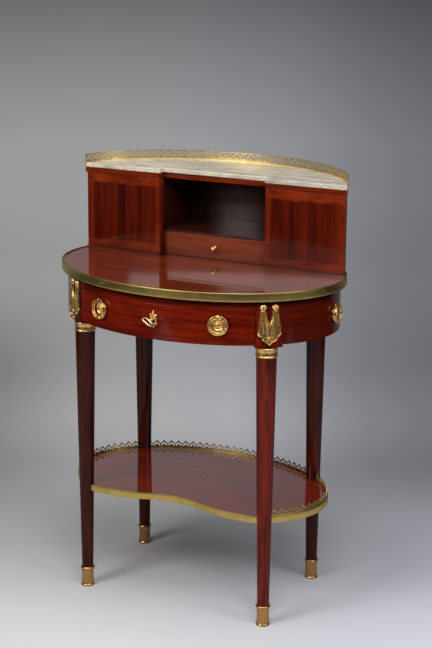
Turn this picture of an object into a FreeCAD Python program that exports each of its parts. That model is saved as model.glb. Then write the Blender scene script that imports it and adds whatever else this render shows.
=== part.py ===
import FreeCAD, Part
import math
import os

from FreeCAD import Placement, Rotation, Vector

# Bonheur du jour: an oval writing table on four turned legs, with a kidney-shaped under-shelf and a
# small breakfront cabinet on the back half of the top. Millimetres. The origin is on the floor under
# the centre of the oval top, +X to the sitter's right, +Y to the back and +Z up.

# Oval top
TOP_HEIGHT = 750.0
TOP_HALF_LENGTH = 332.0
TOP_HALF_DEPTH = 237.5
TOP_BAND_HEIGHT = 19.0
TOP_BAND_THICKNESS = 3.0
TOP_BAND_LIP = 2.5
BAND_ROUND = 0.8
TOP_PIN_COUNT = 14

# Frieze under the top
APRON_INSET = 13.0
APRON_THICKNESS = 20.0
APRON_HEIGHT = 96.0
TOP_RAIL_HEIGHT = 19.0
BOTTOM_RAIL_HEIGHT = 11.0
TENON_LENGTH = 14.0
TENON_THICKNESS = 8.0
FRONT_ROUND = 0.6
APRON_TENON_SHOULDER = 14.0
RAIL_TENON_SHOULDER = 2.5
JOINT_CLEARANCE = 0.1

# Legs, collars and sabots
LEG_STATION_DEG = 42.8
LEG_AXIS_INSET = 22.0
LEG_TOP_RADIUS = 22.2
LEG_FOOT_RADIUS = 13.0
BLOCK_WIDTH = 57.0
BLOCK_BACK = 23.0
BLOCK_PROUD = 1.0
BLOCK_DROP = 5.0
BLOCK_LIP = 1.2
BLOCK_LIP_HEIGHT = 3.0
COLLAR_GAP = 2.5
COLLAR_HEIGHT = 21.5
COLLAR_WALL = 2.3
COLLAR_HOLLOW = 0.9
COLLAR_BEAD_HEIGHT = 4.0
SABOT_HEIGHT = 46.0
SABOT_BODY_RADIUS = 13.9
SABOT_RING_RADIUS = 16.3
SABOT_RING_HEIGHT = 5.0
SABOT_SOLE = 6.0
SABOT_WALL = 2.2
SLIP_CLEARANCE = 0.05

# Drapery mounts on the leg blocks
DRAPERY_DROP = 15.0
DRAPERY_BOSS_SPACING = 25.6
DRAPERY_BOSS_RADIUS = 6.6
DRAPERY_HALF_WIDTH = 24.5
DRAPERY_LENGTH = 81.0
DRAPERY_THICKNESS = 2.6
DRAPERY_FOLD_RADIUS = 2.6

# Under-shelf
SHELF_HEIGHT = 247.0
SHELF_HALF_LENGTH = 303.0
SHELF_BAND_HEIGHT = 15.0
SHELF_BAND_THICKNESS = 2.5
SHELF_BAND_LIP = 1.5
SHELF_FRONT_REACH = 145.5
SHELF_FRONT_DIP = 27.0
SHELF_BULGE_X = 160.0
SHELF_DIP_RADIUS = 212.0
SHELF_GALLERY_HEIGHT = 16.0
SHELF_GALLERY_THICKNESS = 1.5
SHELF_GALLERY_PITCH = 17.5
SHELF_GALLERY_BAR = 2.6
SHELF_GALLERY_RAIL = 3.0
SHELF_GALLERY_LENGTHS = 18
SHELF_PIN_COUNT = 11
SHELF_FRONT_PIN_X = 55.0

# Band pins
PIN_RADIUS = 1.6
PIN_LENGTH = 9.0
PIN_HEAD = 0.6

# Drawer runners and kickers
DRAWER_BLOCK_CLEARANCE = 3.2
DRAWER_PLAY = 0.3
RUNNER_WIDTH = 18.0
GUIDE_WIDTH = 12.0
GUIDE_HEIGHT = 10.0
GUIDE_HALF_LENGTH = 88.0
GUIDE_GAP = 0.6
KICKER_WIDTH = 16.0

# Frieze drawer
DRAWER_END_GAP = 0.8
DRAWER_SIDE_THICKNESS = 9.0
DRAWER_BACK_THICKNESS = 9.0
DRAWER_BACK_GAP = 22.0
DRAWER_SIDE_DROP = 2.4
DRAWER_BOTTOM_THICKNESS = 6.0
DRAWER_BOTTOM_RISE = 5.0
GROOVE_DEPTH = 4.0
TAIL_LENGTH = 9.0
TAIL_COUNT = 3

# Lock, key and escutcheon
LOCK_WIDTH = 56.0
LOCK_HEIGHT = 48.0
LOCK_DEPTH = 9.5
LOCK_WALL = 1.0
BOLT_WIDTH = 22.0
BOLT_THICKNESS = 4.5
BOLT_HEIGHT = 20.0
BOLT_THROW = 8.0
BOLT_CLEARANCE = 0.3
KEYHOLE_CLEARANCE = 0.6
KEY_SHANK_RADIUS = 2.2
KEY_STANDOFF = 25.0
KEY_BOW_HALF_WIDTH = 13.0
KEY_BOW_HALF_LENGTH = 8.0
KEY_BOW_WIRE = 1.7
KEY_BIT_REACH = 7.6
KEY_BIT_THICKNESS = 2.4
KEY_BIT_LENGTH = 4.6
KEY_REST_TILT_DEG = 35.0
KEYHOLE_SLOT = 9.0
ESCUTCHEON_HEIGHT = 40.0
ESCUTCHEON_WIDTH = 17.0
ESCUTCHEON_THICKNESS = 1.6

# Ring pulls
RING_X = 140.0
RING_RADIUS = 18.6
RING_SECTION_HALF_WIDTH = 3.1
RING_SECTION_HALF_DEPTH = 2.2
RING_STANDOFF = 7.2
ROSETTE_RADIUS = 20.0
ROSETTE_THICKNESS = 1.5
ROSETTE_BOSS_RADIUS = 4.6
ROSETTE_BOSS_HEIGHT = 5.4
RING_PIN_RADIUS = 1.25
RING_PIN_CLEARANCE = 0.08
KNUCKLE_RADIUS = 2.9
KNUCKLE_WIDTH = 5.0
KNUCKLE_GAP = 0.4

# Cabinet on the top
CABINET_INSET = 4.0
CABINET_FRONT_Y = 46.0
CABINET_BREAK = 20.0
CABINET_WALL = 9.0
CENTRE_BAY_HALF = 131.5
PARTITION_THICKNESS = 12.0
CABINET_BASE_THICKNESS = 5.0
CABINET_TOP_THICKNESS = 12.0
MARBLE_HEIGHT = 937.0
MARBLE_THICKNESS = 10.0
MARBLE_OVERHANG = 1.5
MARBLE_ROUND = 1.5
NICHE_FLOOR = 807.0
NICHE_SHELF_THICKNESS = 6.0
DADO_DEPTH = 4.0
DOWEL_RADIUS = 4.0
DOWEL_BITE = 10.0

# Top gallery
GALLERY_BAND_THICKNESS = 2.0
GALLERY_BAND_RISE = 1.5
GALLERY_HEIGHT = 18.0
GALLERY_THICKNESS = 1.5
GALLERY_PITCH = 17.8
GALLERY_BAR = 1.8
GALLERY_RAIL = 2.7
GALLERY_LENGTHS = 11

# Cabinet doors
DOOR_THICKNESS = 18.5
DOOR_FRONT_SET_BACK = 0.3
DOOR_GAP = 0.7
DOOR_END_GAP = 1.5
PIVOT_RADIUS = 2.0
PIVOT_CLEARANCE = 0.08
PIVOT_FROM_EDGE = 7.0
PIVOT_FROM_BACK = 10.0
PIVOT_IN_DOOR = 7.0
PIVOT_IN_CARCASE = 4.0

# Small drawer
SMALL_FRONT_THICKNESS = 14.0
SMALL_DRAWER_GAP = 0.5
SMALL_SIDE_THICKNESS = 7.0
SMALL_SIDE_HEIGHT = 40.0
SMALL_BACK_GAP = 6.0
SMALL_BOTTOM_THICKNESS = 4.0
SMALL_BOTTOM_RISE = 3.0
SMALL_GROOVE_DEPTH = 3.0
SMALL_TAIL_LENGTH = 7.0
KNOB_RADIUS = 5.8
KNOB_NECK_RADIUS = 2.8
KNOB_NECK_LENGTH = 6.0
KNOB_SPIGOT_RADIUS = 2.5

# Levels and outlines that follow from the driving dimensions
top_underside = TOP_HEIGHT - TOP_BAND_HEIGHT
top_surface = TOP_HEIGHT - TOP_BAND_LIP
apron_bottom = top_underside - APRON_HEIGHT
block_bottom = apron_bottom - BLOCK_DROP
collar_top = block_bottom - COLLAR_GAP
collar_bottom = collar_top - COLLAR_HEIGHT
rail_bottom = top_underside - TOP_RAIL_HEIGHT
bottom_rail_top = apron_bottom + BOTTOM_RAIL_HEIGHT
frieze_a = TOP_HALF_LENGTH - APRON_INSET
frieze_b = TOP_HALF_DEPTH - APRON_INSET
inner_a = frieze_a - APRON_THICKNESS
inner_b = frieze_b - APRON_THICKNESS
cabinet_a = TOP_HALF_LENGTH - CABINET_INSET
cabinet_b = TOP_HALF_DEPTH - CABINET_INSET
carcase_front = CABINET_FRONT_Y + CABINET_BREAK
cabinet_floor = top_surface + CABINET_BASE_THICKNESS
cabinet_ceiling = MARBLE_HEIGHT - CABINET_TOP_THICKNESS
marble_surface = MARBLE_HEIGHT + MARBLE_THICKNESS
FAR = 2.0 * TOP_HALF_LENGTH
SPARE = 1.0


# ---------------------------------------------------------------- helpers
def box(x0, x1, y0, y1, z0, z1):
    return Part.makeBox(x1 - x0, y1 - y0, z1 - z0, Vector(x0, y0, z0))


def prism_xy(edges, bottom, top):
    face = Part.Face(Part.Wire(edges))
    face.translate(Vector(0, 0, bottom))
    return face.extrude(Vector(0, 0, top - bottom))


def oval_prism(a, b, bottom, top):
    """An upright prism over the oval with half axes a along X and b along Y."""
    centre = Vector(0, 0, 0)
    if a >= b:
        curve = Part.Ellipse(Vector(a, 0, 0), Vector(0, b, 0), centre)
    else:
        curve = Part.Ellipse(Vector(0, b, 0), Vector(-a, 0, 0), centre)
    return prism_xy([curve.toShape()], bottom, top)


def oval_ring(a, b, thickness, bottom, top):
    outer = oval_prism(a, b, bottom, top)
    return outer.cut(oval_prism(a - thickness, b - thickness, bottom - SPARE, top + SPARE))


def oval_x(a, b, y):
    """Half length of the oval at the depth y."""
    return a * math.sqrt(1.0 - (y / b) ** 2)


def oval_y(a, b, x):
    return b * math.sqrt(1.0 - (x / a) ** 2)


def oval_station(a, b, angle):
    """The point of the oval at a parameter angle in radians, and the outward normal there."""
    point = Vector(a * math.cos(angle), b * math.sin(angle), 0)
    normal = Vector(math.cos(angle) / a, math.sin(angle) / b, 0)
    return point, normal.normalize()


def spaced_stations(a, b, start, end, count, share=0.5):
    """One point in each of count equal lengths of the oval between two parameter angles."""
    steps = 1440
    angles = [start + (end - start) * i / steps for i in range(steps + 1)]
    run = [0.0]
    for first, second in zip(angles, angles[1:]):
        middle = (first + second) / 2
        speed = math.hypot(a * math.sin(middle), b * math.cos(middle))
        run.append(run[-1] + speed * abs(second - first))
    stations = []
    index = 0
    for number in range(count):
        target = run[-1] * (number + share) / count
        while run[index + 1] < target:
            index += 1
        part = (target - run[index]) / (run[index + 1] - run[index])
        stations.append(oval_station(a, b, angles[index] + part * (angles[index + 1] - angles[index])))
    return stations, run[-1]


def cut_to_lengths(strip, a, b, start, end, count, bottom, top):
    """The strip sawn into count equal lengths, which butt against each other."""
    starts = [point for point, _ in spaced_stations(a, b, start, end, count, 0.0)[0]]
    starts.append(oval_station(a, b, end)[0])
    pieces = []
    for first, second in zip(starts, starts[1:]):
        far = [Vector(point.x, point.y, 0).multiply(2.0) for point in (first, second)]
        corners = [Vector(0, 0, 0), far[0], far[1], Vector(0, 0, 0)]
        wedge = Part.Face(Part.makePolygon(corners))
        wedge.translate(Vector(0, 0, bottom - SPARE))
        pieces.append(strip.common(wedge.extrude(Vector(0, 0, top - bottom + 2 * SPARE))))
    return pieces


def placed(shape, point, normal, height=0.0):
    """A copy whose local +Y looks along normal and whose origin is at point."""
    turn = math.degrees(math.atan2(normal.y, normal.x)) - 90.0
    copy = shape.copy()
    where = Placement(Vector(point.x, point.y, height), Rotation(Vector(0, 0, 1), turn))
    copy.Placement = where.multiply(copy.Placement)
    return copy


def turned(profile):
    """A solid of revolution about Z from a closed (radius, height) profile."""
    points = [Vector(r, 0, z) for r, z in profile]
    face = Part.Face(Part.makePolygon(points + points[:1]))
    return face.revolve(Vector(0, 0, 0), Vector(0, 0, 1), 360)


def turned_along_y(profile):
    """A solid of revolution about Y from a closed (radius, reach) profile."""
    shape = turned(profile)
    shape.rotate(Vector(0, 0, 0), Vector(1, 0, 0), -90)
    return shape


def plate_xz(points, y0, y1):
    """A flat plate with an (x, z) outline, from y0 to y1."""
    corners = [Vector(x, y0, z) for x, z in points]
    face = Part.Face(Part.makePolygon(corners + corners[:1]))
    return face.extrude(Vector(0, y1 - y0, 0))


def rod(start, end, radius):
    direction = end.sub(start)
    return Part.makeCylinder(radius, direction.Length, start, direction)


def joined(shapes):
    whole = shapes[0].fuse(shapes[1:]) if len(shapes) > 1 else shapes[0]
    return whole.removeSplitter()


def group(shapes):
    """Separate solids that share one node."""
    return Part.makeCompound([solid for shape in shapes for solid in shape.Solids])


def mirrored(shape):
    return shape.mirror(Vector(0, 0, 0), Vector(1, 0, 0))


def eased(shape, radius, chosen):
    """The shape with a small round on the edges that pass the test."""
    return shape.makeFillet(radius, [edge for edge in shape.Edges if chosen(edge)])


def level(edge):
    return edge.BoundBox.ZLength < 0.001


def on_plane_y(edge, y):
    return max(abs(edge.BoundBox.YMin - y), abs(edge.BoundBox.YMax - y)) < 0.001


def on_oval(edge, a, b):
    return all(abs((v.X / a) ** 2 + (v.Y / b) ** 2 - 1.0) < 0.001 for v in edge.Vertexes)


# ---------------------------------------------------------------- legs
def leg_axis():
    """Distance of the front right leg's axis from the centre, and the size of its normal."""
    point, normal = oval_station(frieze_a, frieze_b, math.radians(LEG_STATION_DEG))
    axis = point.sub(Vector(normal).multiply(LEG_AXIS_INSET))
    return axis, normal


LEGS = {
    "front_left": (-1, -1),
    "front_right": (1, -1),
    "back_left": (-1, 1),
    "back_right": (1, 1),
}


def at_leg(shape, name):
    """Places a shape drawn with the leg's axis at the origin and the outside along +Y."""
    axis, normal = leg_axis()
    side, end = LEGS[name]
    point = Vector(side * axis.x, end * axis.y, 0)
    return placed(shape, point, Vector(side * normal.x, end * normal.y, 0))


def tenon_box(hand, bottom, top, slack=0.0):
    """The tenon that enters a leg block from its local +X (hand 1) or -X (hand -1) side."""
    far = BLOCK_WIDTH / 2 + SPARE
    near = BLOCK_WIDTH / 2 - TENON_LENGTH - slack * 5
    middle = LEG_AXIS_INSET - APRON_THICKNESS / 2
    half = TENON_THICKNESS / 2 + slack
    x0, x1 = sorted((hand * near, hand * far))
    return box(x0, x1, middle - half, middle + half, bottom - slack, top + slack)


APRON_TENON = (apron_bottom + APRON_TENON_SHOULDER, top_underside - APRON_TENON_SHOULDER)
TOP_RAIL_TENON = (rail_bottom + RAIL_TENON_SHOULDER, top_underside - RAIL_TENON_SHOULDER)
BOTTOM_RAIL_TENON = (apron_bottom + RAIL_TENON_SHOULDER, bottom_rail_top - RAIL_TENON_SHOULDER)


def tenon_levels(name, hand):
    """The heights of the tenons that enter one side of a leg block."""
    faces_drawer = (name, hand) in (("front_right", 1), ("front_left", -1))
    return [TOP_RAIL_TENON, BOTTOM_RAIL_TENON] if faces_drawer else [APRON_TENON]


def leg_block():
    half = BLOCK_WIDTH / 2
    block = box(-half, half, -BLOCK_BACK, 2 * BLOCK_BACK, block_bottom, top_underside)
    lip = box(-half - BLOCK_LIP, half + BLOCK_LIP, -BLOCK_BACK - BLOCK_LIP, 2 * BLOCK_BACK,
              block_bottom, block_bottom + BLOCK_LIP_HEIGHT)
    return block, lip


def leg_shaft():
    stub = LEG_FOOT_RADIUS - SABOT_WALL
    return turned([
        (0, block_bottom + SPARE),
        (LEG_TOP_RADIUS, block_bottom + SPARE),
        (LEG_TOP_RADIUS, collar_bottom),
        (LEG_FOOT_RADIUS, SABOT_HEIGHT),
        (stub, SABOT_HEIGHT),
        (stub, SABOT_SOLE),
        (0, SABOT_SOLE),
    ])


def leg(name):
    block, lip = leg_block()
    face = oval_prism(frieze_a + BLOCK_PROUD, frieze_b + BLOCK_PROUD, block_bottom, top_underside)
    lip_face = oval_prism(frieze_a + BLOCK_PROUD + BLOCK_LIP, frieze_b + BLOCK_PROUD + BLOCK_LIP,
                          block_bottom, top_underside)
    parts = [at_leg(block, name).common(face), at_leg(lip, name).common(lip_face)]
    shape = joined(parts + [at_leg(leg_shaft(), name)])
    mortises = [
        at_leg(tenon_box(hand, low, high, JOINT_CLEARANCE), name)
        for hand in (1, -1)
        for low, high in tenon_levels(name, hand)
    ]
    return shape.cut(mortises)


def collar():
    inner = LEG_TOP_RADIUS + SLIP_CLEARANCE
    outer = LEG_TOP_RADIUS + COLLAR_WALL
    waist = outer - COLLAR_HOLLOW
    edge = outer - COLLAR_HOLLOW / 2
    bead = COLLAR_BEAD_HEIGHT
    return turned([
        (inner, collar_bottom),
        (edge, collar_bottom),
        (outer, collar_bottom + bead / 4),
        (outer, collar_bottom + bead * 3 / 4),
        (waist, collar_bottom + bead),
        (waist, collar_top - bead),
        (outer, collar_top - bead * 3 / 4),
        (outer, collar_top - bead / 4),
        (edge, collar_top),
        (inner, collar_top),
    ])


def sabot():
    socket = LEG_FOOT_RADIUS - SABOT_WALL + SLIP_CLEARANCE
    body = SABOT_BODY_RADIUS
    ring = SABOT_RING_RADIUS
    top = SABOT_HEIGHT
    ring_low = top - SABOT_RING_HEIGHT
    return turned([
        (0, 0),
        (body + 0.3, 0),
        (body + 1.3, 1.2),
        (body + 1.3, 3.2),
        (body - 0.2, SABOT_SOLE),
        (body, ring_low - 1.0),
        (ring - 0.6, ring_low),
        (ring, ring_low + 1.0),
        (ring, top - 1.0),
        (ring - 0.8, top),
        (socket, top),
        (socket, SABOT_SOLE),
        (0, SABOT_SOLE),
    ])


# ---------------------------------------------------------------- drapery mounts
def drapery():
    """Two cloths hung from bosses and gathered to one point, drawn at the leg's axis."""
    face = LEG_AXIS_INSET + BLOCK_PROUD
    hook = top_underside - DRAPERY_DROP
    half = DRAPERY_HALF_WIDTH
    boss_x = DRAPERY_BOSS_SPACING / 2
    length = DRAPERY_LENGTH
    right = [
        (0.0, -0.53 * length),
        (0.14 * half, -0.37 * length),
        (boss_x - 0.22 * half, -0.06 * length),
        (boss_x + 0.18 * half, -0.06 * length),
        (0.84 * half, -0.25 * length),
        (0.95 * half, -0.48 * length),
        (half, -0.72 * length),
        (0.70 * half, -0.76 * length),
        (0.48 * half, -0.85 * length),
        (0.0, -length),
    ]
    outline = right + [(-x, z) for x, z in reversed(right[1:-1])]
    cloth = plate_xz([(x, z + hook) for x, z in outline], face - 3.0, face + DRAPERY_THICKNESS)
    parts = [cloth]
    for side in (1, -1):
        boss = turned_along_y([
            (0, 0),
            (DRAPERY_BOSS_RADIUS, 0),
            (DRAPERY_BOSS_RADIUS, 2.5),
            (0.72 * DRAPERY_BOSS_RADIUS, 5.0),
            (0, 6.2),
        ])
        boss.translate(Vector(side * boss_x, face - 1.5, hook))
        parts.append(boss)
        start = Vector(side * boss_x, face + 1.6, hook - 0.05 * length)
        for reach, drop in ((0.80, 0.69), (0.52, 0.74), (0.20, 0.80)):
            tip = Vector(side * reach * half, face + 1.2, hook - drop * length)
            fold = tip.sub(start)
            parts.append(Part.makeCone(DRAPERY_FOLD_RADIUS * 0.55, DRAPERY_FOLD_RADIUS, fold.Length,
                                       start, fold))
    return joined(parts)


def drapery_mount(name):
    face = oval_prism(frieze_a + BLOCK_PROUD, frieze_b + BLOCK_PROUD, block_bottom, TOP_HEIGHT)
    return at_leg(drapery(), name).cut(face)


# ---------------------------------------------------------------- frieze
def frieze_sector(side, bottom, top, end_gap=0.0):
    """The stretch of the frieze between two leg blocks, on the named side."""
    ring = oval_ring(frieze_a, frieze_b, APRON_THICKNESS, bottom, top)
    half = BLOCK_WIDTH / 2 + end_gap
    reach = BLOCK_BACK + APRON_THICKNESS
    cutter = box(-half, half, -reach, reach, bottom - SPARE, top + SPARE)
    solids = ring.cut([at_leg(cutter, name) for name in LEGS]).Solids
    key = {
        "front": lambda s: s.CenterOfMass.y,
        "back": lambda s: -s.CenterOfMass.y,
        "left": lambda s: s.CenterOfMass.x,
        "right": lambda s: -s.CenterOfMass.x,
    }[side]
    return min(solids, key=key)


TENON_ENDS = {
    "front": (("front_right", 1), ("front_left", -1)),
    "right": (("front_right", -1), ("back_right", 1)),
    "back": (("back_right", -1), ("back_left", 1)),
    "left": (("back_left", -1), ("front_left", 1)),
}


def frieze_rail(side, bottom, top, tenon):
    tenons = [at_leg(tenon_box(hand, *tenon), name) for name, hand in TENON_ENDS[side]]
    return joined([frieze_sector(side, bottom, top)] + tenons)


def apron(side):
    return frieze_rail(side, apron_bottom, top_underside, APRON_TENON)


def front_top_rail():
    rail = frieze_rail("front", rail_bottom, top_underside, TOP_RAIL_TENON)
    x = BOLT_WIDTH / 2 + BOLT_CLEARANCE * 2
    y = bolt_y()
    half = BOLT_THICKNESS / 2 + BOLT_CLEARANCE * 2
    return rail.cut(box(-x, x, y - half, y + half, rail_bottom - SPARE, rail_bottom + BOLT_THROW + 1.5))


def front_bottom_rail():
    return frieze_rail("front", apron_bottom, bottom_rail_top, BOTTOM_RAIL_TENON)


# ---------------------------------------------------------------- drawer supports
def drawer_half_width():
    """Outer half width of the drawer box, clear of the inner corners of the front leg blocks."""
    axis, normal = leg_axis()
    corner = axis.x - BLOCK_WIDTH / 2 * normal.y - (BLOCK_BACK + BLOCK_LIP) * normal.x
    return corner - DRAWER_BLOCK_CLEARANCE


def between_aprons(bottom, top):
    return oval_prism(inner_a, inner_b, bottom, top)


def drawer_runner():
    """The right runner: a strip under the drawer's side, with a guide strip beside it."""
    outer = drawer_half_width()
    inside = between_aprons(apron_bottom, top_underside)
    strip = box(outer - RUNNER_WIDTH, outer, -FAR, FAR, apron_bottom, bottom_rail_top).common(inside)
    shoulder = box(outer - SPARE, outer + GUIDE_WIDTH, -GUIDE_HALF_LENGTH, GUIDE_HALF_LENGTH,
                   apron_bottom, bottom_rail_top)
    guide = box(outer + GUIDE_GAP, outer + GUIDE_WIDTH, -GUIDE_HALF_LENGTH, GUIDE_HALF_LENGTH,
                bottom_rail_top - SPARE, bottom_rail_top + GUIDE_HEIGHT)
    return joined([strip, shoulder, guide])


def drawer_kicker():
    outer = drawer_half_width()
    inside = between_aprons(rail_bottom, top_underside)
    return box(outer - KICKER_WIDTH, outer, -FAR, FAR, rail_bottom, top_underside).common(inside)


# ---------------------------------------------------------------- top
def top_pins():
    stations, _ = spaced_stations(TOP_HALF_LENGTH, TOP_HALF_DEPTH, 0, 2 * math.pi, TOP_PIN_COUNT)
    height = top_underside + TOP_BAND_HEIGHT / 2
    return [placed(band_pin(), point, normal, height) for point, normal in stations]


def band_pin():
    return turned_along_y([
        (0, -PIN_LENGTH),
        (PIN_RADIUS, -PIN_LENGTH),
        (PIN_RADIUS, PIN_HEAD * 0.35),
        (0.6 * PIN_RADIUS, PIN_HEAD * 0.85),
        (0, PIN_HEAD),
    ])


def dowel_places():
    x = CENTRE_BAY_HALF + PARTITION_THICKNESS / 2
    deep = oval_y(cabinet_a - CABINET_WALL, cabinet_b - CABINET_WALL, x)
    near = carcase_front + 0.2 * (deep - carcase_front)
    far = carcase_front + 0.8 * (deep - carcase_front)
    return [(side * x, y) for side in (-1, 1) for y in (near, far)]


def cabinet_dowels():
    low = top_surface - DOWEL_BITE
    high = cabinet_floor + DOWEL_BITE
    return [rod(Vector(x, y, low), Vector(x, y, high), DOWEL_RADIUS) for x, y in dowel_places()]


def table_top():
    panel = oval_prism(TOP_HALF_LENGTH - TOP_BAND_THICKNESS, TOP_HALF_DEPTH - TOP_BAND_THICKNESS,
                       top_underside, top_surface)
    return panel.cut(top_pins() + cabinet_dowels())


def table_top_band():
    ring = oval_ring(TOP_HALF_LENGTH, TOP_HALF_DEPTH, TOP_BAND_THICKNESS, top_underside, TOP_HEIGHT)
    outer = 2 * TOP_HALF_LENGTH - SPARE
    ring = eased(ring, BAND_ROUND, lambda edge: level(edge) and edge.BoundBox.XLength > outer)
    return ring.cut(top_pins())


# ---------------------------------------------------------------- under-shelf
def shelf_half_depth():
    """The shelf's oval passes through the legs' axes."""
    axis, _ = leg_axis()
    return axis.y / math.sqrt(1.0 - (axis.x / SHELF_HALF_LENGTH) ** 2)


def shelf_front_arcs():
    """Centres and radii of the hollow middle arc and the right bulging arc of the front edge."""
    both = (SHELF_BULGE_X ** 2 + SHELF_FRONT_DIP ** 2) / (2 * SHELF_FRONT_DIP)
    bulge_radius = both - SHELF_DIP_RADIUS
    dip_centre = Vector(0, -SHELF_FRONT_REACH + SHELF_FRONT_DIP - SHELF_DIP_RADIUS, 0)
    bulge_centre = Vector(SHELF_BULGE_X, -SHELF_FRONT_REACH + bulge_radius, 0)
    return dip_centre, SHELF_DIP_RADIUS, bulge_centre, bulge_radius


def shelf_front_cutter(inset, bottom, top):
    """What lies in front of the shelf's front edge, between the axes of the front legs."""
    dip_centre, dip_radius, bulge_centre, bulge_radius = shelf_front_arcs()
    bulge = bulge_radius - inset
    dip = dip_radius + inset
    step = bulge_centre.sub(dip_centre)
    turn = dip_centre.add(Vector(step).multiply(dip / step.Length))
    end_x = leg_axis()[0].x
    end = Vector(end_x, bulge_centre.y - math.sqrt(bulge ** 2 - (end_x - bulge_centre.x) ** 2), 0)
    crest = bulge_centre.add(Vector(0, -bulge, 0))
    middle = dip_centre.add(Vector(0, dip, 0))

    def left(point):
        return Vector(-point.x, point.y, 0)

    front = -FAR
    edges = [
        Part.Arc(left(end), left(crest), left(turn)).toShape(),
        Part.Arc(left(turn), middle, turn).toShape(),
        Part.Arc(turn, crest, end).toShape(),
        Part.makeLine(end, Vector(end_x, front, 0)),
        Part.makeLine(Vector(end_x, front, 0), Vector(-end_x, front, 0)),
        Part.makeLine(Vector(-end_x, front, 0), left(end)),
    ]
    return prism_xy(edges, bottom - SPARE, top + SPARE)


def shelf_prism(inset, bottom, top):
    oval = oval_prism(SHELF_HALF_LENGTH - inset, shelf_half_depth() - inset, bottom, top)
    return oval.cut(shelf_front_cutter(inset, bottom, top))


def shelf_pins():
    """Pins round the oval part of the shelf's band, and four in its front edge."""
    a = SHELF_HALF_LENGTH
    b = shelf_half_depth()
    half = math.asin(min(1.0, leg_axis()[0].y / b))
    stations, _ = spaced_stations(a, b, -half, math.pi + half, SHELF_PIN_COUNT)
    height = SHELF_HEIGHT - SHELF_BAND_HEIGHT / 2
    pins = [placed(band_pin(), point, normal, height) for point, normal in stations]
    dip_centre, dip_radius, bulge_centre, bulge_radius = shelf_front_arcs()
    out = bulge_centre.add(Vector(0, -bulge_radius, 0))
    x = SHELF_FRONT_PIN_X
    inner = Vector(x, dip_centre.y + math.sqrt(dip_radius ** 2 - x ** 2), 0)
    toward = dip_centre.sub(inner).normalize()
    for side in (1, -1):
        pins.append(placed(band_pin(), Vector(side * out.x, out.y, 0), Vector(0, -1, 0), height))
        pins.append(placed(band_pin(), Vector(side * inner.x, inner.y, 0),
                           Vector(side * toward.x, toward.y, 0), height))
    return pins


def all_legs_shafts():
    return [at_leg(leg_shaft(), name) for name in LEGS]


def shelf_board():
    board = shelf_prism(SHELF_BAND_THICKNESS, SHELF_HEIGHT - SHELF_BAND_HEIGHT, SHELF_HEIGHT - SHELF_BAND_LIP)
    return board.cut(all_legs_shafts() + shelf_pins())


def shelf_band():
    bottom = SHELF_HEIGHT - SHELF_BAND_HEIGHT
    outer = shelf_prism(0, bottom, SHELF_HEIGHT)
    inner = shelf_prism(SHELF_BAND_THICKNESS, bottom - SPARE, SHELF_HEIGHT + SPARE)
    return group([outer.cut([inner] + all_legs_shafts() + shelf_pins())])


def shelf_gallery():
    """A pierced arcade of pointed gables on the shelf, round the back and both ends."""
    a = SHELF_HALF_LENGTH - SHELF_BAND_THICKNESS
    b = shelf_half_depth() - SHELF_BAND_THICKNESS
    bottom = SHELF_HEIGHT - SHELF_BAND_LIP
    height = SHELF_GALLERY_HEIGHT
    strip = oval_ring(a, b, SHELF_GALLERY_THICKNESS, bottom, bottom + height)
    axis = leg_axis()[0]
    front = box(-axis.x, axis.x, -FAR, -0.9 * axis.y, bottom - SPARE, bottom + height + SPARE)
    shafts = [at_leg(turned_housing(bottom, height), name) for name in LEGS]
    middle_a = a - SHELF_GALLERY_THICKNESS / 2
    middle_b = b - SHELF_GALLERY_THICKNESS / 2
    start = -math.pi / 2
    end = start + 2 * math.pi
    whole = spaced_stations(middle_a, middle_b, start, end, 1)[1]
    count = SHELF_GALLERY_LENGTHS * round(whole / SHELF_GALLERY_PITCH / SHELF_GALLERY_LENGTHS)
    stations, _ = spaced_stations(middle_a, middle_b, start, end, count)
    pitch = whole / count
    half = pitch / 2
    bar = SHELF_GALLERY_BAR
    rail = SHELF_GALLERY_RAIL
    shoulder = 0.48 * height
    peak = 0.5 * height
    opening = plate_xz([
        (-half + bar / 2, rail),
        (-0.26 * pitch, rail),
        (0, peak),
        (0.26 * pitch, rail),
        (half - bar / 2, rail),
        (half - bar / 2, shoulder - bar / 2),
        (0, height - 1.4 * bar),
        (-half + bar / 2, shoulder - bar / 2),
    ], -3 * SHELF_GALLERY_THICKNESS, 3 * SHELF_GALLERY_THICKNESS)
    over = plate_xz([
        (-half - SPARE / 4, shoulder),
        (-0.04 * pitch, height),
        (-0.04 * pitch, height + SPARE),
        (-half - SPARE / 4, height + SPARE),
    ], -3 * SHELF_GALLERY_THICKNESS, 3 * SHELF_GALLERY_THICKNESS)
    tools = [front] + shafts
    for point, normal in stations:
        if point.y < -0.9 * axis.y and abs(point.x) < axis.x:
            continue
        for piece in (opening, over, mirrored(over)):
            tools.append(placed(piece, point, normal, bottom))
    solids = strip.cut(tools).Solids
    runs = group([solid for solid in solids if solid.BoundBox.DiagonalLength > 2 * pitch])
    return group(cut_to_lengths(runs, middle_a, middle_b, start, end, SHELF_GALLERY_LENGTHS,
                                bottom, bottom + height))


def turned_housing(bottom, height):
    """Room for a leg where the gallery meets it."""
    share = (bottom + height - SABOT_HEIGHT) / (collar_bottom - SABOT_HEIGHT)
    radius = LEG_FOOT_RADIUS + share * (LEG_TOP_RADIUS - LEG_FOOT_RADIUS)
    return Part.makeCylinder(radius + SLIP_CLEARANCE, height + 2 * SPARE, Vector(0, 0, bottom - SPARE))


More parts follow.
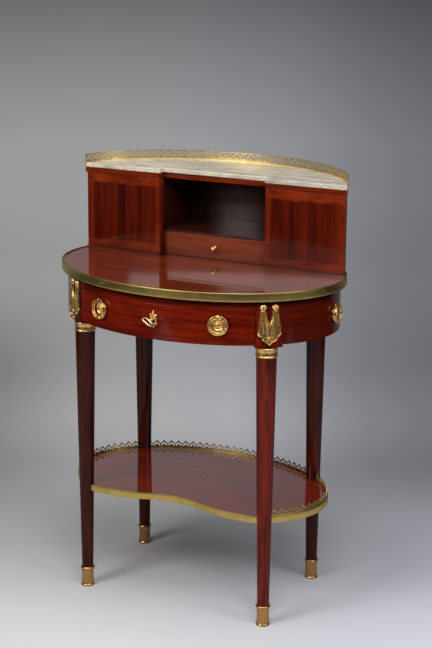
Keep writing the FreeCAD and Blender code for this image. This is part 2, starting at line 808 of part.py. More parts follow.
# ---------------------------------------------------------------- frieze drawer
drawer_bottom_z = bottom_rail_top + DRAWER_PLAY
drawer_top_z = rail_bottom - DRAWER_PLAY
drawer_side_top = drawer_top_z - DRAWER_SIDE_DROP
drawer_panel_z = drawer_bottom_z + DRAWER_BOTTOM_RISE
drawer_middle_z = (drawer_bottom_z + drawer_top_z) / 2


def drawer_back_face():
    return oval_y(inner_a, inner_b, drawer_half_width()) - DRAWER_BACK_GAP


def dovetails(x0, x1, base, tip, bottom, top, count):
    """Tails between two X planes, narrow at the depth base and wide at the depth tip."""
    pitch = (top - bottom) / count
    tails = []
    for number in range(count):
        middle = bottom + (number + 0.5) * pitch
        points = [
            Vector(x0, base, middle - 0.25 * pitch),
            Vector(x0, tip, middle - 0.36 * pitch),
            Vector(x0, tip, middle + 0.36 * pitch),
            Vector(x0, base, middle + 0.25 * pitch),
        ]
        face = Part.Face(Part.makePolygon(points + points[:1]))
        tails.append(face.extrude(Vector(x1 - x0, 0, 0)))
    return tails


def drawer_front_tails(side):
    outer = drawer_half_width()
    inner = outer - DRAWER_SIDE_THICKNESS
    x0, x1 = sorted((side * inner, side * outer))
    base = -oval_y(inner_a, inner_b, inner) + 2 * TAIL_LENGTH
    tip = -oval_y(inner_a, inner_b, outer) - TAIL_LENGTH
    tails = dovetails(x0, x1, base, tip, drawer_panel_z + DRAWER_BOTTOM_THICKNESS + SPARE,
                      drawer_side_top, TAIL_COUNT)
    return tails


def drawer_back_tails(side):
    outer = drawer_half_width()
    inner = outer - DRAWER_SIDE_THICKNESS
    x0, x1 = sorted((side * inner, side * outer))
    back = drawer_back_face()
    return dovetails(x0, x1, back - DRAWER_BACK_THICKNESS, back,
                     drawer_panel_z + DRAWER_BOTTOM_THICKNESS, drawer_side_top, TAIL_COUNT)


def drawer_bottom(slack=0.0):
    """The bottom panel, which runs in grooves and passes under the drawer's back."""
    half = drawer_half_width() - DRAWER_SIDE_THICKNESS + GROOVE_DEPTH + slack
    back = drawer_back_face() + slack
    low = drawer_panel_z - slack / 2
    high = drawer_panel_z + DRAWER_BOTTOM_THICKNESS + slack / 2
    reach = oval_prism(inner_a + GROOVE_DEPTH + slack, inner_b + GROOVE_DEPTH + slack, low, high)
    return box(-half, half, -FAR, back, low, high).common(reach)


def drawer_side(side):
    outer = drawer_half_width()
    inner = outer - DRAWER_SIDE_THICKNESS
    x0, x1 = sorted((side * inner, side * outer))
    back = drawer_back_face() - DRAWER_BACK_THICKNESS
    inside = between_aprons(drawer_bottom_z, drawer_side_top)
    board = box(x0, x1, -FAR, back, drawer_bottom_z, drawer_side_top).common(inside)
    foot = box(x0, x1, back - SPARE, back + DRAWER_BACK_THICKNESS, drawer_bottom_z,
               drawer_panel_z + DRAWER_BOTTOM_THICKNESS)
    shape = joined([board, foot] + drawer_front_tails(side) + drawer_back_tails(side))
    return shape.cut(drawer_bottom(JOINT_CLEARANCE))


def drawer_back():
    half = drawer_half_width()
    back = drawer_back_face()
    board = box(-half, half, back - DRAWER_BACK_THICKNESS, back,
                drawer_panel_z + DRAWER_BOTTOM_THICKNESS, drawer_side_top)
    return board.cut(drawer_back_tails(1) + drawer_back_tails(-1))


def lock_back():
    """Depth of the lock's inner face, flush with the drawer front's inner face at its middle."""
    return -inner_b


def bolt_y():
    return lock_back() - LOCK_DEPTH / 2


def keyhole(y0, y1):
    radius = KEY_SHANK_RADIUS + KEYHOLE_CLEARANCE
    slot = KEY_BIT_THICKNESS / 2 + KEYHOLE_CLEARANCE
    bore = rod(Vector(0, y0, drawer_middle_z), Vector(0, y1, drawer_middle_z), radius)
    return joined([bore, box(-slot, slot, y0, y1, drawer_middle_z - KEYHOLE_SLOT, drawer_middle_z)])


def lock_room():
    half = LOCK_WIDTH / 2
    return box(-half, half, lock_back() - LOCK_DEPTH, lock_back() + 2 * SPARE,
               drawer_top_z - LOCK_HEIGHT, drawer_top_z + SPARE)


def drawer_front():
    front = frieze_sector("front", drawer_bottom_z, drawer_top_z, DRAWER_END_GAP)
    front = eased(front, FRONT_ROUND, lambda edge: on_oval(edge, frieze_a, frieze_b))
    cuts = drawer_front_tails(1) + drawer_front_tails(-1)
    cuts += [drawer_bottom(JOINT_CLEARANCE), lock_room(), keyhole(-frieze_b - SPARE, lock_back())]
    return front.cut(cuts)


def bolt():
    half = BOLT_WIDTH / 2
    thick = BOLT_THICKNESS / 2
    top = drawer_top_z - 0.2
    return box(-half, half, bolt_y() - thick, bolt_y() + thick, top - BOLT_HEIGHT, top)


def drawer_lock():
    """A lock case let into the drawer front, hollow for the bolt and the key's bit."""
    half = LOCK_WIDTH / 2
    y0 = lock_back() - LOCK_DEPTH
    y1 = lock_back()
    low = drawer_top_z - LOCK_HEIGHT
    case = box(-half, half, y0, y1, low, drawer_top_z)
    wall = LOCK_WALL
    hollow = box(-half + wall, half - wall, y0 + wall, y1 - wall, low + wall, drawer_top_z - wall)
    slot_x = BOLT_WIDTH / 2 + BOLT_CLEARANCE
    slot_y = BOLT_THICKNESS / 2 + BOLT_CLEARANCE
    slot = box(-slot_x, slot_x, bolt_y() - slot_y, bolt_y() + slot_y,
               drawer_top_z - 2 * wall, drawer_top_z + SPARE)
    return case.cut([hollow, slot, keyhole(y0 - SPARE, y0 + 2 * wall)])


def escutcheon():
    """An oval shield with leaf finials above and below, pierced by the keyhole."""
    half = ESCUTCHEON_WIDTH / 2
    tall = ESCUTCHEON_HEIGHT / 2
    y0 = -frieze_b
    y1 = y0 - ESCUTCHEON_THICKNESS
    parts = []
    shield = Part.Ellipse(Vector(0, y0, 0.62 * tall), Vector(0.8 * half, y0, 0), Vector(0, y0, 0))
    face = Part.Face(Part.Wire([shield.toShape()]))
    parts.append(face.extrude(Vector(0, y1 - y0, 0)))
    for up in (1, -1):
        finial = [
            (-0.45 * half, up * 0.5 * tall),
            (-0.25 * half, up * 0.82 * tall),
            (0, up * tall),
            (0.25 * half, up * 0.82 * tall),
            (0.45 * half, up * 0.5 * tall),
        ]
        parts.append(plate_xz(finial, y1, y0))
        for side in (1, -1):
            scroll = Part.makeCylinder(0.30 * half, ESCUTCHEON_THICKNESS,
                                       Vector(side * 0.70 * half, y1, up * 0.46 * tall), Vector(0, 1, 0))
            parts.append(scroll)
    plate = joined(parts)
    plate.translate(Vector(0, 0, drawer_middle_z))
    return plate.cut(keyhole(y1 - SPARE, y0 + SPARE))


def key_bow(bow_y):
    """A loop of wire with two straight runs and two round ends, in the local YZ plane."""
    bend = KEY_BOW_HALF_LENGTH
    straight = KEY_BOW_HALF_WIDTH - bend
    wire = Part.Circle(Vector(0, bow_y + bend, straight), Vector(0, 0, 1), KEY_BOW_WIRE)
    face = Part.Face(Part.Wire([wire.toShape()]))
    end = face.revolve(Vector(0, bow_y, straight), Vector(1, 0, 0), 180)
    other = end.mirror(Vector(0, 0, 0), Vector(0, 0, 1))
    runs = [rod(Vector(0, bow_y + side * bend, -straight), Vector(0, bow_y + side * bend, straight),
                KEY_BOW_WIRE) for side in (1, -1)]
    return joined([end, other] + runs)


def key():
    """Drawn with its shank on the local Y axis and its bow upright, then tilted to its rest."""
    bow_y = -frieze_b - KEY_STANDOFF
    inside = lock_back() - LOCK_WALL - 0.8
    neck = bow_y + KEY_BOW_HALF_LENGTH
    shank = rod(Vector(0, neck - 0.5, 0), Vector(0, inside, 0), KEY_SHANK_RADIUS)
    ball = rod(Vector(0, neck + 1.0, 0), Vector(0, neck + 4.0, 0), KEY_SHANK_RADIUS + 1.0)
    bit_start = lock_back() - LOCK_DEPTH + LOCK_WALL + 0.8
    bit = box(-KEY_BIT_THICKNESS / 2, KEY_BIT_THICKNESS / 2, bit_start, bit_start + KEY_BIT_LENGTH,
              -KEY_BIT_REACH, 0)
    shape = joined([shank, ball, bit, key_bow(bow_y)])
    shape.rotate(Vector(0, 0, 0), Vector(0, 1, 0), 90 + KEY_REST_TILT_DEG)
    shape.translate(Vector(0, 0, drawer_middle_z))
    return shape


# ---------------------------------------------------------------- ring pulls
def ring_plate():
    """A rosette with a boss, and a knuckle at its top that the ring turns in."""
    thick = ROSETTE_THICKNESS
    rose = turned_along_y([
        (0, 0),
        (ROSETTE_RADIUS, 0),
        (ROSETTE_RADIUS, 0.7 * thick),
        (0.95 * ROSETTE_RADIUS, thick),
        (0.72 * ROSETTE_RADIUS, thick),
        (0.69 * ROSETTE_RADIUS, 1.9 * thick),
        (0.61 * ROSETTE_RADIUS, 1.9 * thick),
        (0.58 * ROSETTE_RADIUS, thick),
        (0.46 * ROSETTE_RADIUS, thick),
        (0.43 * ROSETTE_RADIUS, 1.8 * thick),
        (0.34 * ROSETTE_RADIUS, 1.8 * thick),
        (0.31 * ROSETTE_RADIUS, 1.2 * thick),
        (ROSETTE_BOSS_RADIUS, 1.2 * thick),
        (0.9 * ROSETTE_BOSS_RADIUS, 0.65 * ROSETTE_BOSS_HEIGHT),
        (0.5 * ROSETTE_BOSS_RADIUS, 0.93 * ROSETTE_BOSS_HEIGHT),
        (0, ROSETTE_BOSS_HEIGHT),
    ])
    half = KNUCKLE_WIDTH / 2
    top = Vector(0, RING_STANDOFF, RING_RADIUS)
    neck = rod(Vector(0, 0, RING_RADIUS), top, 0.75 * half)
    knuckle = rod(top.sub(Vector(half, 0, 0)), top.add(Vector(half, 0, 0)), KNUCKLE_RADIUS)
    nub = Part.makeSphere(0.72 * KNUCKLE_RADIUS, top.add(Vector(0, 0, 1.35 * KNUCKLE_RADIUS)))
    bore = rod(top.sub(Vector(2 * half, 0, 0)), top.add(Vector(2 * half, 0, 0)),
               RING_PIN_RADIUS + RING_PIN_CLEARANCE)
    return joined([rose, neck, knuckle, nub]).cut(bore)


def ring():
    """A flat ring broken at its top for the knuckle, with its pin through the knuckle."""
    section = Part.Ellipse(Vector(RING_RADIUS + RING_SECTION_HALF_WIDTH, RING_STANDOFF, 0),
                           Vector(RING_RADIUS, RING_STANDOFF + RING_SECTION_HALF_DEPTH, 0),
                           Vector(RING_RADIUS, RING_STANDOFF, 0))
    face = Part.Face(Part.Wire([section.toShape()]))
    hoop = face.revolve(Vector(0, 0, 0), Vector(0, 1, 0), 360)
    half = KNUCKLE_WIDTH / 2 + KNUCKLE_GAP
    gap = box(-half, half, 0, 2 * RING_STANDOFF, 0.5 * RING_RADIUS, 2 * RING_RADIUS)
    top = Vector(0, RING_STANDOFF, RING_RADIUS)
    reach = Vector(half + 1.5, 0, 0)
    pin = rod(top.sub(reach), top.add(reach), RING_PIN_RADIUS)
    return joined([hoop.cut(gap), pin])


def ring_stations():
    """Where the four pulls sit: two on the drawer, one on each side apron."""
    angle = math.acos(RING_X / frieze_a)
    return {
        "drawer_ring_left": oval_station(frieze_a, frieze_b, math.pi + angle),
        "drawer_ring_right": oval_station(frieze_a, frieze_b, -angle),
        "side_ring_left": oval_station(frieze_a, frieze_b, math.pi),
        "side_ring_right": oval_station(frieze_a, frieze_b, 0.0),
    }


def at_pull(shape, name):
    point, normal = ring_stations()[name]
    return placed(shape, point, normal, drawer_middle_z)


# ---------------------------------------------------------------- cabinet
def breakfront(bottom, top, overhang=0.0):
    """The cabinet's plan: the back of an oval, with a middle bay set back from two side bays."""
    plan = oval_prism(cabinet_a, cabinet_b, bottom, top)
    half = CENTRE_BAY_HALF - overhang
    front = box(-FAR, FAR, -FAR, CABINET_FRONT_Y - overhang, bottom - SPARE, top + SPARE)
    middle = box(-half, half, -FAR, carcase_front - overhang, bottom - SPARE, top + SPARE)
    return plan.cut([front, middle])


def inside_wall(bottom, top):
    return oval_prism(cabinet_a - CABINET_WALL, cabinet_b - CABINET_WALL, bottom, top)


def pivot_place():
    """The right door's turning axis."""
    y = CABINET_FRONT_Y + DOOR_FRONT_SET_BACK + DOOR_THICKNESS - PIVOT_FROM_BACK
    a = cabinet_a - DOOR_END_GAP
    b = cabinet_b - DOOR_END_GAP
    return Vector(oval_x(a, b, y) - PIVOT_FROM_EDGE, y, 0)


def door_pivots():
    pins = []
    for side in (-1, 1):
        x = side * pivot_place().x
        y = pivot_place().y
        for low, high in (
            (cabinet_floor - PIVOT_IN_CARCASE, cabinet_floor + PIVOT_IN_DOOR),
            (cabinet_ceiling - PIVOT_IN_DOOR, cabinet_ceiling + PIVOT_IN_CARCASE),
        ):
            pins.append(rod(Vector(x, y, low), Vector(x, y, high), PIVOT_RADIUS))
    return pins


def cabinet_base():
    """The cabinet's bottom board. Behind the small drawer's front it stops short."""
    board = breakfront(top_surface, cabinet_floor)
    recess = box(-CENTRE_BAY_HALF, CENTRE_BAY_HALF, -FAR, carcase_front + SMALL_FRONT_THICKNESS + 0.5,
                 top_surface - SPARE, cabinet_floor + SPARE)
    return board.cut([recess] + door_pivots() + cabinet_dowels())


def cabinet_top():
    return breakfront(cabinet_ceiling, MARBLE_HEIGHT).cut(door_pivots())


def cabinet_back():
    """The bent wall that closes the cabinet's back and ends."""
    ring = oval_ring(cabinet_a, cabinet_b, CABINET_WALL, cabinet_floor, cabinet_ceiling)
    return ring.common(box(-FAR, FAR, carcase_front, FAR, cabinet_floor, cabinet_ceiling))


def niche_shelf():
    half = CENTRE_BAY_HALF + DADO_DEPTH
    low = NICHE_FLOOR - NICHE_SHELF_THICKNESS
    board = box(-half, half, carcase_front, FAR, low, NICHE_FLOOR)
    return board.common(inside_wall(low, NICHE_FLOOR))


def partition(side):
    x0, x1 = sorted((side * CENTRE_BAY_HALF, side * (CENTRE_BAY_HALF + PARTITION_THICKNESS)))
    board = box(x0, x1, carcase_front, FAR, cabinet_floor, cabinet_ceiling)
    board = board.common(inside_wall(cabinet_floor, cabinet_ceiling))
    return board.cut([niche_shelf()] + cabinet_dowels())


def marble_top():
    """The slab, with the level edges along its front rounded."""
    slab = breakfront(MARBLE_HEIGHT, marble_surface, MARBLE_OVERHANG)
    return eased(slab, MARBLE_ROUND, lambda edge: level(edge) and edge.Curve.TypeId == "Part::GeomLine")


def gallery_band():
    """The brass strip round the curved edge of the marble and the board under it."""
    ring = oval_ring(cabinet_a + GALLERY_BAND_THICKNESS, cabinet_b + GALLERY_BAND_THICKNESS,
                     GALLERY_BAND_THICKNESS, cabinet_ceiling, marble_surface + GALLERY_BAND_RISE)
    keep = box(-FAR, FAR, CABINET_FRONT_Y - MARBLE_OVERHANG, FAR, cabinet_ceiling - SPARE, FAR * 2)
    return ring.common(keep)


def top_gallery():
    """A pierced arcade of pointed gables under a top rail, standing on the brass strip."""
    bottom = marble_surface + GALLERY_BAND_RISE
    top = bottom + GALLERY_HEIGHT
    thin = GALLERY_THICKNESS
    a = cabinet_a + GALLERY_BAND_THICKNESS
    b = cabinet_b + GALLERY_BAND_THICKNESS
    strip = oval_ring(a, b, thin, bottom, top)
    start_y = CABINET_FRONT_Y - MARBLE_OVERHANG
    strip = strip.common(box(-FAR, FAR, start_y, FAR, bottom - SPARE, top + SPARE))
    angle = math.asin(start_y / (b - thin / 2))
    path = (a - thin / 2, b - thin / 2, angle, math.pi - angle)
    whole = spaced_stations(*path, 1)[1]
    count = GALLERY_LENGTHS * round(whole / GALLERY_PITCH / GALLERY_LENGTHS)
    stations, _ = spaced_stations(*path, count)
    half = whole / count / 2
    bar = GALLERY_BAR
    low = GALLERY_RAIL
    high = GALLERY_HEIGHT - GALLERY_RAIL
    shoulder = low + 0.36 * (high - low)
    foot = 0.5 * half
    arch = plate_xz([
        (-half + bar / 2, low),
        (-foot, low),
        (0, shoulder + 0.5 * bar),
        (foot, low),
        (half - bar / 2, low),
        (half - bar / 2, shoulder - 0.4 * bar),
        (0, high - 0.6 * bar),
        (-half + bar / 2, shoulder - 0.4 * bar),
    ], -3 * thin, 3 * thin)
    spandrel = plate_xz([
        (half, shoulder + bar),
        (2 * half - bar, high),
        (bar, high),
    ], -3 * thin, 3 * thin)
    tools = []
    for number, (point, normal) in enumerate(stations):
        tools.append(placed(arch, point, normal, bottom))
        if number > 0:
            tools.append(placed(spandrel, point, normal, bottom))
    return group(cut_to_lengths(strip.cut(tools), *path, GALLERY_LENGTHS, bottom, top))


# ---------------------------------------------------------------- cabinet doors
def door():
    """The right door. Its outer back edge is rounded about its pivots so that it can swing."""
    y0 = CABINET_FRONT_Y + DOOR_FRONT_SET_BACK
    y1 = y0 + DOOR_THICKNESS
    low = cabinet_floor + DOOR_GAP
    high = cabinet_ceiling - DOOR_GAP
    panel = box(CENTRE_BAY_HALF, FAR, y0, y1, low, high)
    panel = panel.common(oval_prism(cabinet_a - DOOR_END_GAP, cabinet_b - DOOR_END_GAP, low, high))
    panel = eased(panel, FRONT_ROUND, lambda edge: on_plane_y(edge, y0))
    axis = pivot_place()
    corner = box(axis.x, FAR, axis.y, y1 + SPARE, low - SPARE, high + SPARE)
    core = Part.makeCylinder(PIVOT_FROM_BACK, high - low + 4 * SPARE, Vector(axis.x, axis.y, low - 2 * SPARE))
    sockets = [
        rod(Vector(axis.x, axis.y, z0), Vector(axis.x, axis.y, z1), PIVOT_RADIUS + PIVOT_CLEARANCE)
        for z0, z1 in (
            (low - SPARE, cabinet_floor + PIVOT_IN_DOOR + SPARE),
            (cabinet_ceiling - PIVOT_IN_DOOR - SPARE, high + SPARE),
        )
    ]
    return panel.cut([corner.cut(core)] + sockets)


# ---------------------------------------------------------------- small drawer
small_half = CENTRE_BAY_HALF - SMALL_DRAWER_GAP
small_bottom_z = cabinet_floor + DRAWER_PLAY
small_top_z = NICHE_FLOOR - NICHE_SHELF_THICKNESS - SMALL_DRAWER_GAP
small_front_back = carcase_front + SMALL_FRONT_THICKNESS
small_panel_z = small_bottom_z + SMALL_BOTTOM_RISE
small_side_top = small_bottom_z + SMALL_SIDE_HEIGHT


def small_back_face():
    return oval_y(cabinet_a - CABINET_WALL, cabinet_b - CABINET_WALL, small_half) - SMALL_BACK_GAP


def small_bottom(slack=0.0):
    half = small_half - SMALL_SIDE_THICKNESS + SMALL_GROOVE_DEPTH + slack
    return box(-half, half, small_front_back - SMALL_GROOVE_DEPTH - slack, small_back_face() + slack,
               small_panel_z - slack / 2, small_panel_z + SMALL_BOTTOM_THICKNESS + slack / 2)


def small_tails(side):
    x0, x1 = sorted((side * (small_half - SMALL_SIDE_THICKNESS), side * small_half))
    low = small_panel_z + SMALL_BOTTOM_THICKNESS + SPARE
    front = dovetails(x0, x1, small_front_back, small_front_back - SMALL_TAIL_LENGTH, low,
                      small_side_top, 2)
    back = small_back_face()
    rear = dovetails(x0, x1, back - SMALL_SIDE_THICKNESS, back, low - SPARE, small_side_top, 2)
    return front, rear


def small_side(side):
    x0, x1 = sorted((side * (small_half - SMALL_SIDE_THICKNESS), side * small_half))
    back = small_back_face() - SMALL_SIDE_THICKNESS
    board = box(x0, x1, small_front_back, back, small_bottom_z, small_side_top)
    foot = box(x0, x1, back - SPARE, back + SMALL_SIDE_THICKNESS, small_bottom_z,
               small_panel_z + SMALL_BOTTOM_THICKNESS)
    front, rear = small_tails(side)
    return joined([board, foot] + front + rear).cut(small_bottom(JOINT_CLEARANCE))


def small_front():
    board = box(-small_half, small_half, carcase_front, small_front_back,
                top_surface + SMALL_DRAWER_GAP, small_top_z)
    board = eased(board, FRONT_ROUND, lambda edge: on_plane_y(edge, carcase_front))
    knob_hole = rod(Vector(0, carcase_front - SPARE, knob_z()), Vector(0, small_front_back + SPARE, knob_z()),
                    KNOB_SPIGOT_RADIUS)
    return board.cut(small_tails(1)[0] + small_tails(-1)[0] + [small_bottom(JOINT_CLEARANCE), knob_hole])


def small_back():
    back = small_back_face()
    board = box(-small_half, small_half, back - SMALL_SIDE_THICKNESS, back,
                small_panel_z + SMALL_BOTTOM_THICKNESS, small_side_top)
    return board.cut(small_tails(1)[1] + small_tails(-1)[1])


def knob_z():
    return (top_surface + small_top_z) / 2


def small_knob():
    neck = KNOB_NECK_LENGTH
    profile = [(0, -SMALL_FRONT_THICKNESS), (KNOB_SPIGOT_RADIUS, -SMALL_FRONT_THICKNESS)]
    profile += [(KNOB_SPIGOT_RADIUS, 0), (1.6 * KNOB_NECK_RADIUS, 0), (1.6 * KNOB_NECK_RADIUS, 0.9)]
    profile += [(KNOB_NECK_RADIUS, 1.6), (KNOB_NECK_RADIUS, neck), (0, neck)]
    ball = Part.makeSphere(KNOB_RADIUS, Vector(0, neck + 0.8 * KNOB_RADIUS, 0))
    shape = joined([turned_along_y(profile), ball])
    return placed(shape, Vector(0, carcase_front, 0), Vector(0, -1, 0), knob_z())


# ---------------------------------------------------------------- the whole object
def nodes():
    parts = {}
    for name in LEGS:
        parts["leg_" + name] = leg(name)
        parts["sabot_" + name] = at_leg(sabot(), name)
        parts["drapery_" + name] = drapery_mount(name)
    parts["leg_collars"] = group([at_leg(collar(), name) for name in LEGS])
    for side in ("left", "right", "back"):
        parts["apron_" + side] = apron(side)
    parts["front_top_rail"] = front_top_rail()
    parts["front_bottom_rail"] = front_bottom_rail()
    parts["drawer_runner_right"] = drawer_runner()
    parts["drawer_runner_left"] = mirrored(drawer_runner())
    parts["drawer_kickers"] = group([drawer_kicker(), mirrored(drawer_kicker())])
    parts["table_top"] = table_top()
    parts["table_top_band"] = table_top_band()
    parts["shelf_board"] = shelf_board()
    parts["shelf_band"] = shelf_band()
    parts["shelf_gallery"] = shelf_gallery()
    parts["band_pins"] = group(top_pins() + shelf_pins())
    parts["drawer_front"] = drawer_front()
    parts["drawer_side_left"] = drawer_side(-1)
    parts["drawer_side_right"] = drawer_side(1)
    parts["drawer_back"] = drawer_back()
    parts["drawer_bottom"] = drawer_bottom()
    parts["drawer_lock"] = drawer_lock()
    parts["lock_bolt"] = bolt()
    parts["escutcheon"] = escutcheon()
    parts["key"] = key()
    pulls = list(ring_stations())
    parts["drawer_ring_plates"] = group([at_pull(ring_plate(), name) for name in pulls[:2]])
    parts["side_ring_plates"] = group([at_pull(ring_plate(), name) for name in pulls[2:]])
    for name in pulls:
        parts[name] = at_pull(ring(), name)
    parts["cabinet_base"] = cabinet_base()
    parts["cabinet_back"] = cabinet_back()
    parts["cabinet_top"] = cabinet_top()
    parts["cabinet_dowels"] = group(cabinet_dowels())
    parts["partition_left"] = partition(-1)
    parts["partition_right"] = partition(1)
    parts["niche_shelf"] = niche_shelf()
    parts["marble_top"] = marble_top()
    parts["gallery_band"] = gallery_band()
    parts["top_gallery"] = top_gallery()
    parts["door_right"] = door()
    parts["door_left"] = mirrored(door())
    parts["door_pivots"] = group(door_pivots())
    parts["small_drawer_front"] = small_front()
    parts["small_drawer_sides"] = group([small_side(-1), small_side(1)])
    parts["small_drawer_back"] = small_back()
    parts["small_drawer_bottom"] = small_bottom()
    parts["small_drawer_knob"] = small_knob()
    return parts


os.makedirs("parts", exist_ok=True)
for node, shape in nodes().items():
    shape.exportStep("parts/" + node + ".step")
    print(node, len(shape.Solids), shape.isValid(), round(shape.Volume))
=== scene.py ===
import math

import bmesh
import bpy
from bpy.props import FloatProperty, FloatVectorProperty, IntProperty, PointerProperty
from bpy.types import Operator, Panel, PropertyGroup
from mathutils import Matrix, Vector


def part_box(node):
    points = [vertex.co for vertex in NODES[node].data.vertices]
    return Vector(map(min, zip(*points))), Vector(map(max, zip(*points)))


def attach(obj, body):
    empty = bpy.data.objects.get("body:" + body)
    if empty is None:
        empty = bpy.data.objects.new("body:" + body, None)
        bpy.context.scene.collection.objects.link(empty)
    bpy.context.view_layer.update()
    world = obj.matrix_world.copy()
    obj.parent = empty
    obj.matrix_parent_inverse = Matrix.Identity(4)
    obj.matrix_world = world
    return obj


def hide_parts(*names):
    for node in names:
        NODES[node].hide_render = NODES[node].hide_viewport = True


bl_info = {
    "name": "Bonheur du jour",
    "version": (1, 0, 0),
    "blender": (4, 5, 0),
    "location": "3D View > Sidebar > Bonheur du jour",
    "description": "Finishes, gilt mounts and studio for an oval writing table with a cabinet",
    "category": "Object",
}

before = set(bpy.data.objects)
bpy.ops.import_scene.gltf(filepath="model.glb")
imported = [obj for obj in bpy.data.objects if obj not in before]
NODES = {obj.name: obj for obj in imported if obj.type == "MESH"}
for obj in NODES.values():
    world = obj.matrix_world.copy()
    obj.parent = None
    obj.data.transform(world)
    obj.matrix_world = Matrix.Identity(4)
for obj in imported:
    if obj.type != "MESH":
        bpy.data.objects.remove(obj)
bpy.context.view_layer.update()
MM = 0.001
BLACK = (0.0, 0.0, 0.0)
WHITE = (1.0, 1.0, 1.0)

# The oval of the frieze, and the four legs that stand in it
FRIEZE_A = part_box("apron_right")[1].x
FRIEZE_B = -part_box("drawer_front")[0].y
TOP_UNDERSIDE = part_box("table_top")[0].z
LEG_STATION = math.radians(42.8)
LEG_AXIS_INSET = 22.0 * MM    # from the oval in to a leg's axis
LEG_TOP_RADIUS = 22.2 * MM
LEG_FOOT_RADIUS = 13.0 * MM
BLOCK_PROUD = 1.0 * MM    # how far the legs' blocks stand out from the oval
LEGS = {
    "front_left": (-1, -1),
    "front_right": (1, -1),
    "back_left": (-1, 1),
    "back_right": (1, 1),
}

# The mounts
COLLAR_WALL = 2.3 * MM
RING_X = 140.0 * MM    # from the drawer's middle to its ring pulls
RING_RADIUS = 18.6 * MM    # from a rosette's middle up to its ring's pin
RING_OUT = 7.2 * MM    # from the frieze out to the pin
KNUCKLE_HALF = 2.7 * MM
GILDING = "chased_gilding"
BRONZE = "worn_bronze"


def mm(*values):
    """Millimetres, in metres."""
    return tuple(value * MM for value in values)


def tone(*values):
    """A linear colour from its everyday values of 0 to 255."""
    shares = [value / 255.0 for value in values]
    return tuple(s / 12.92 if s <= 0.04045 else ((s + 0.055) / 1.055) ** 2.4 for s in shares)


def dimmed(colour, share):
    """A share of a colour's brightness."""
    return [value * share for value in colour]


# --- settings
def colour_setting(name, description, default):
    return FloatVectorProperty(name=name, description=description, default=default,
                               subtype="COLOR", size=3, min=0.0, max=1.0)


def streak_setting(shade, part, *values):
    """The dark or the light colour of one wood."""
    return colour_setting(f"{part}, {shade}", f"{shade.capitalize()} streaks of the {part.lower()}",
                          tone(*values))


def length_setting(name, description, millimetres):
    return FloatProperty(name=name, description=description, default=millimetres * MM,
                         unit="LENGTH", min=0.0)


def power_setting(name, watts):
    return FloatProperty(name=name, description="Power of the " + name.lower(), default=watts,
                         unit="POWER", min=0.0)


class WoodSettings(PropertyGroup):
    top_dark: streak_setting("dark", "Table top", 76, 22, 10)
    top_light: streak_setting("light", "Table top", 118, 46, 24)
    shelf_dark: streak_setting("dark", "Shelf", 84, 17, 6)
    shelf_light: streak_setting("light", "Shelf", 132, 40, 16)
    frieze_dark: streak_setting("dark", "Drawer front and rails", 72, 11, 3)
    frieze_light: streak_setting("light", "Drawer front and rails", 116, 26, 6)
    side_dark: streak_setting("dark", "Aprons", 58, 9, 2)
    side_light: streak_setting("light", "Aprons", 92, 20, 5)
    small_dark: streak_setting("dark", "Small drawer", 88, 30, 12)
    small_light: streak_setting("light", "Small drawer", 128, 56, 30)
    leg_dark: streak_setting("dark", "Legs", 33, 7, 4)
    leg_light: streak_setting("light", "Legs", 76, 20, 7)
    # A lighter and redder copy of the legs' colours for the front right leg, which catches the
    # light: painted light.
    red_dark: streak_setting("dark", "Lit leg", 54, 11, 4)
    red_light: streak_setting("light", "Lit leg", 110, 28, 9)
    door_dark: streak_setting("dark", "Doors", 54, 9, 3)
    door_light: streak_setting("light", "Doors", 102, 26, 8)
    band_light: streak_setting("light", "Crossbands", 132, 44, 12)
    board_dark: streak_setting("dark", "Cabinet boards", 76, 20, 6)
    board_light: streak_setting("light", "Cabinet boards", 120, 42, 12)
    # Darker colours for the niche's back, side walls and floor: painted shade inside the niche.
    shaded_carcase_dark: streak_setting("dark", "Cabinet walls", 34, 11, 6)
    shaded_carcase_light: streak_setting("light", "Cabinet walls", 70, 28, 16)
    oak_dark: streak_setting("dark", "Oak linings", 128, 92, 56)
    oak_light: streak_setting("light", "Oak linings", 178, 140, 94)


class MetalSettings(PropertyGroup):
    brass: colour_setting("Brass", "Bands, galleries and knob", (0.68, 0.48, 0.14))
    tarnish: colour_setting("Tarnish", "Dull patches of the brass", (0.34, 0.25, 0.09))
    gilt: colour_setting("Gilding", "Gilt mounts", (1.0, 0.64, 0.23))
    # The worn colour also darkens the gilt hollows: partly patina, partly painted shade.
    worn: colour_setting("Worn gilding", "Rubbed and hollow places", (0.34, 0.19, 0.07))
    bronze: colour_setting("Bronze", "Sabots that have lost their gilding", (0.60, 0.33, 0.12))
    bright: colour_setting("Bright brass", "The key", (0.90, 0.77, 0.50))
    steel: colour_setting("Steel", "Bolt and pivots", (0.42, 0.42, 0.43))


class MarbleSettings(PropertyGroup):
    ground: colour_setting("Ground", "The marble's ground", tone(212, 201, 181))
    veil: colour_setting("Veil", "Soft grey clouds", tone(150, 146, 138))
    vein: colour_setting("Vein", "Thin veins", tone(112, 106, 98))


class MountSettings(PropertyGroup):
    drapery_length: length_setting("Drapery length", "From the bosses to the hem's point", 81.0)
    drapery_half_width: length_setting("Drapery half width", "From middle to outer corner", 24.5)
    drapery_drop: length_setting("Drapery drop", "From the top's underside to the bosses", 15.0)
    drapery_folds: IntProperty(name="Folds", description="Folds in each cloth", default=3,
                               min=2, max=8)
    fold_depth: length_setting("Fold depth", "Depth of the folds at the hem", 3.4)
    rim_radius: length_setting("Rim radius", "Radius of the raised rim round each cloth", 0.75)
    boss_spacing: length_setting("Boss spacing", "Between the two bosses", 25.6)
    boss_radius: length_setting("Boss radius", "Radius of the bosses", 7.3)
    bead_radius: length_setting("Bead radius", "Radius of the beads on the ring pulls", 0.95)


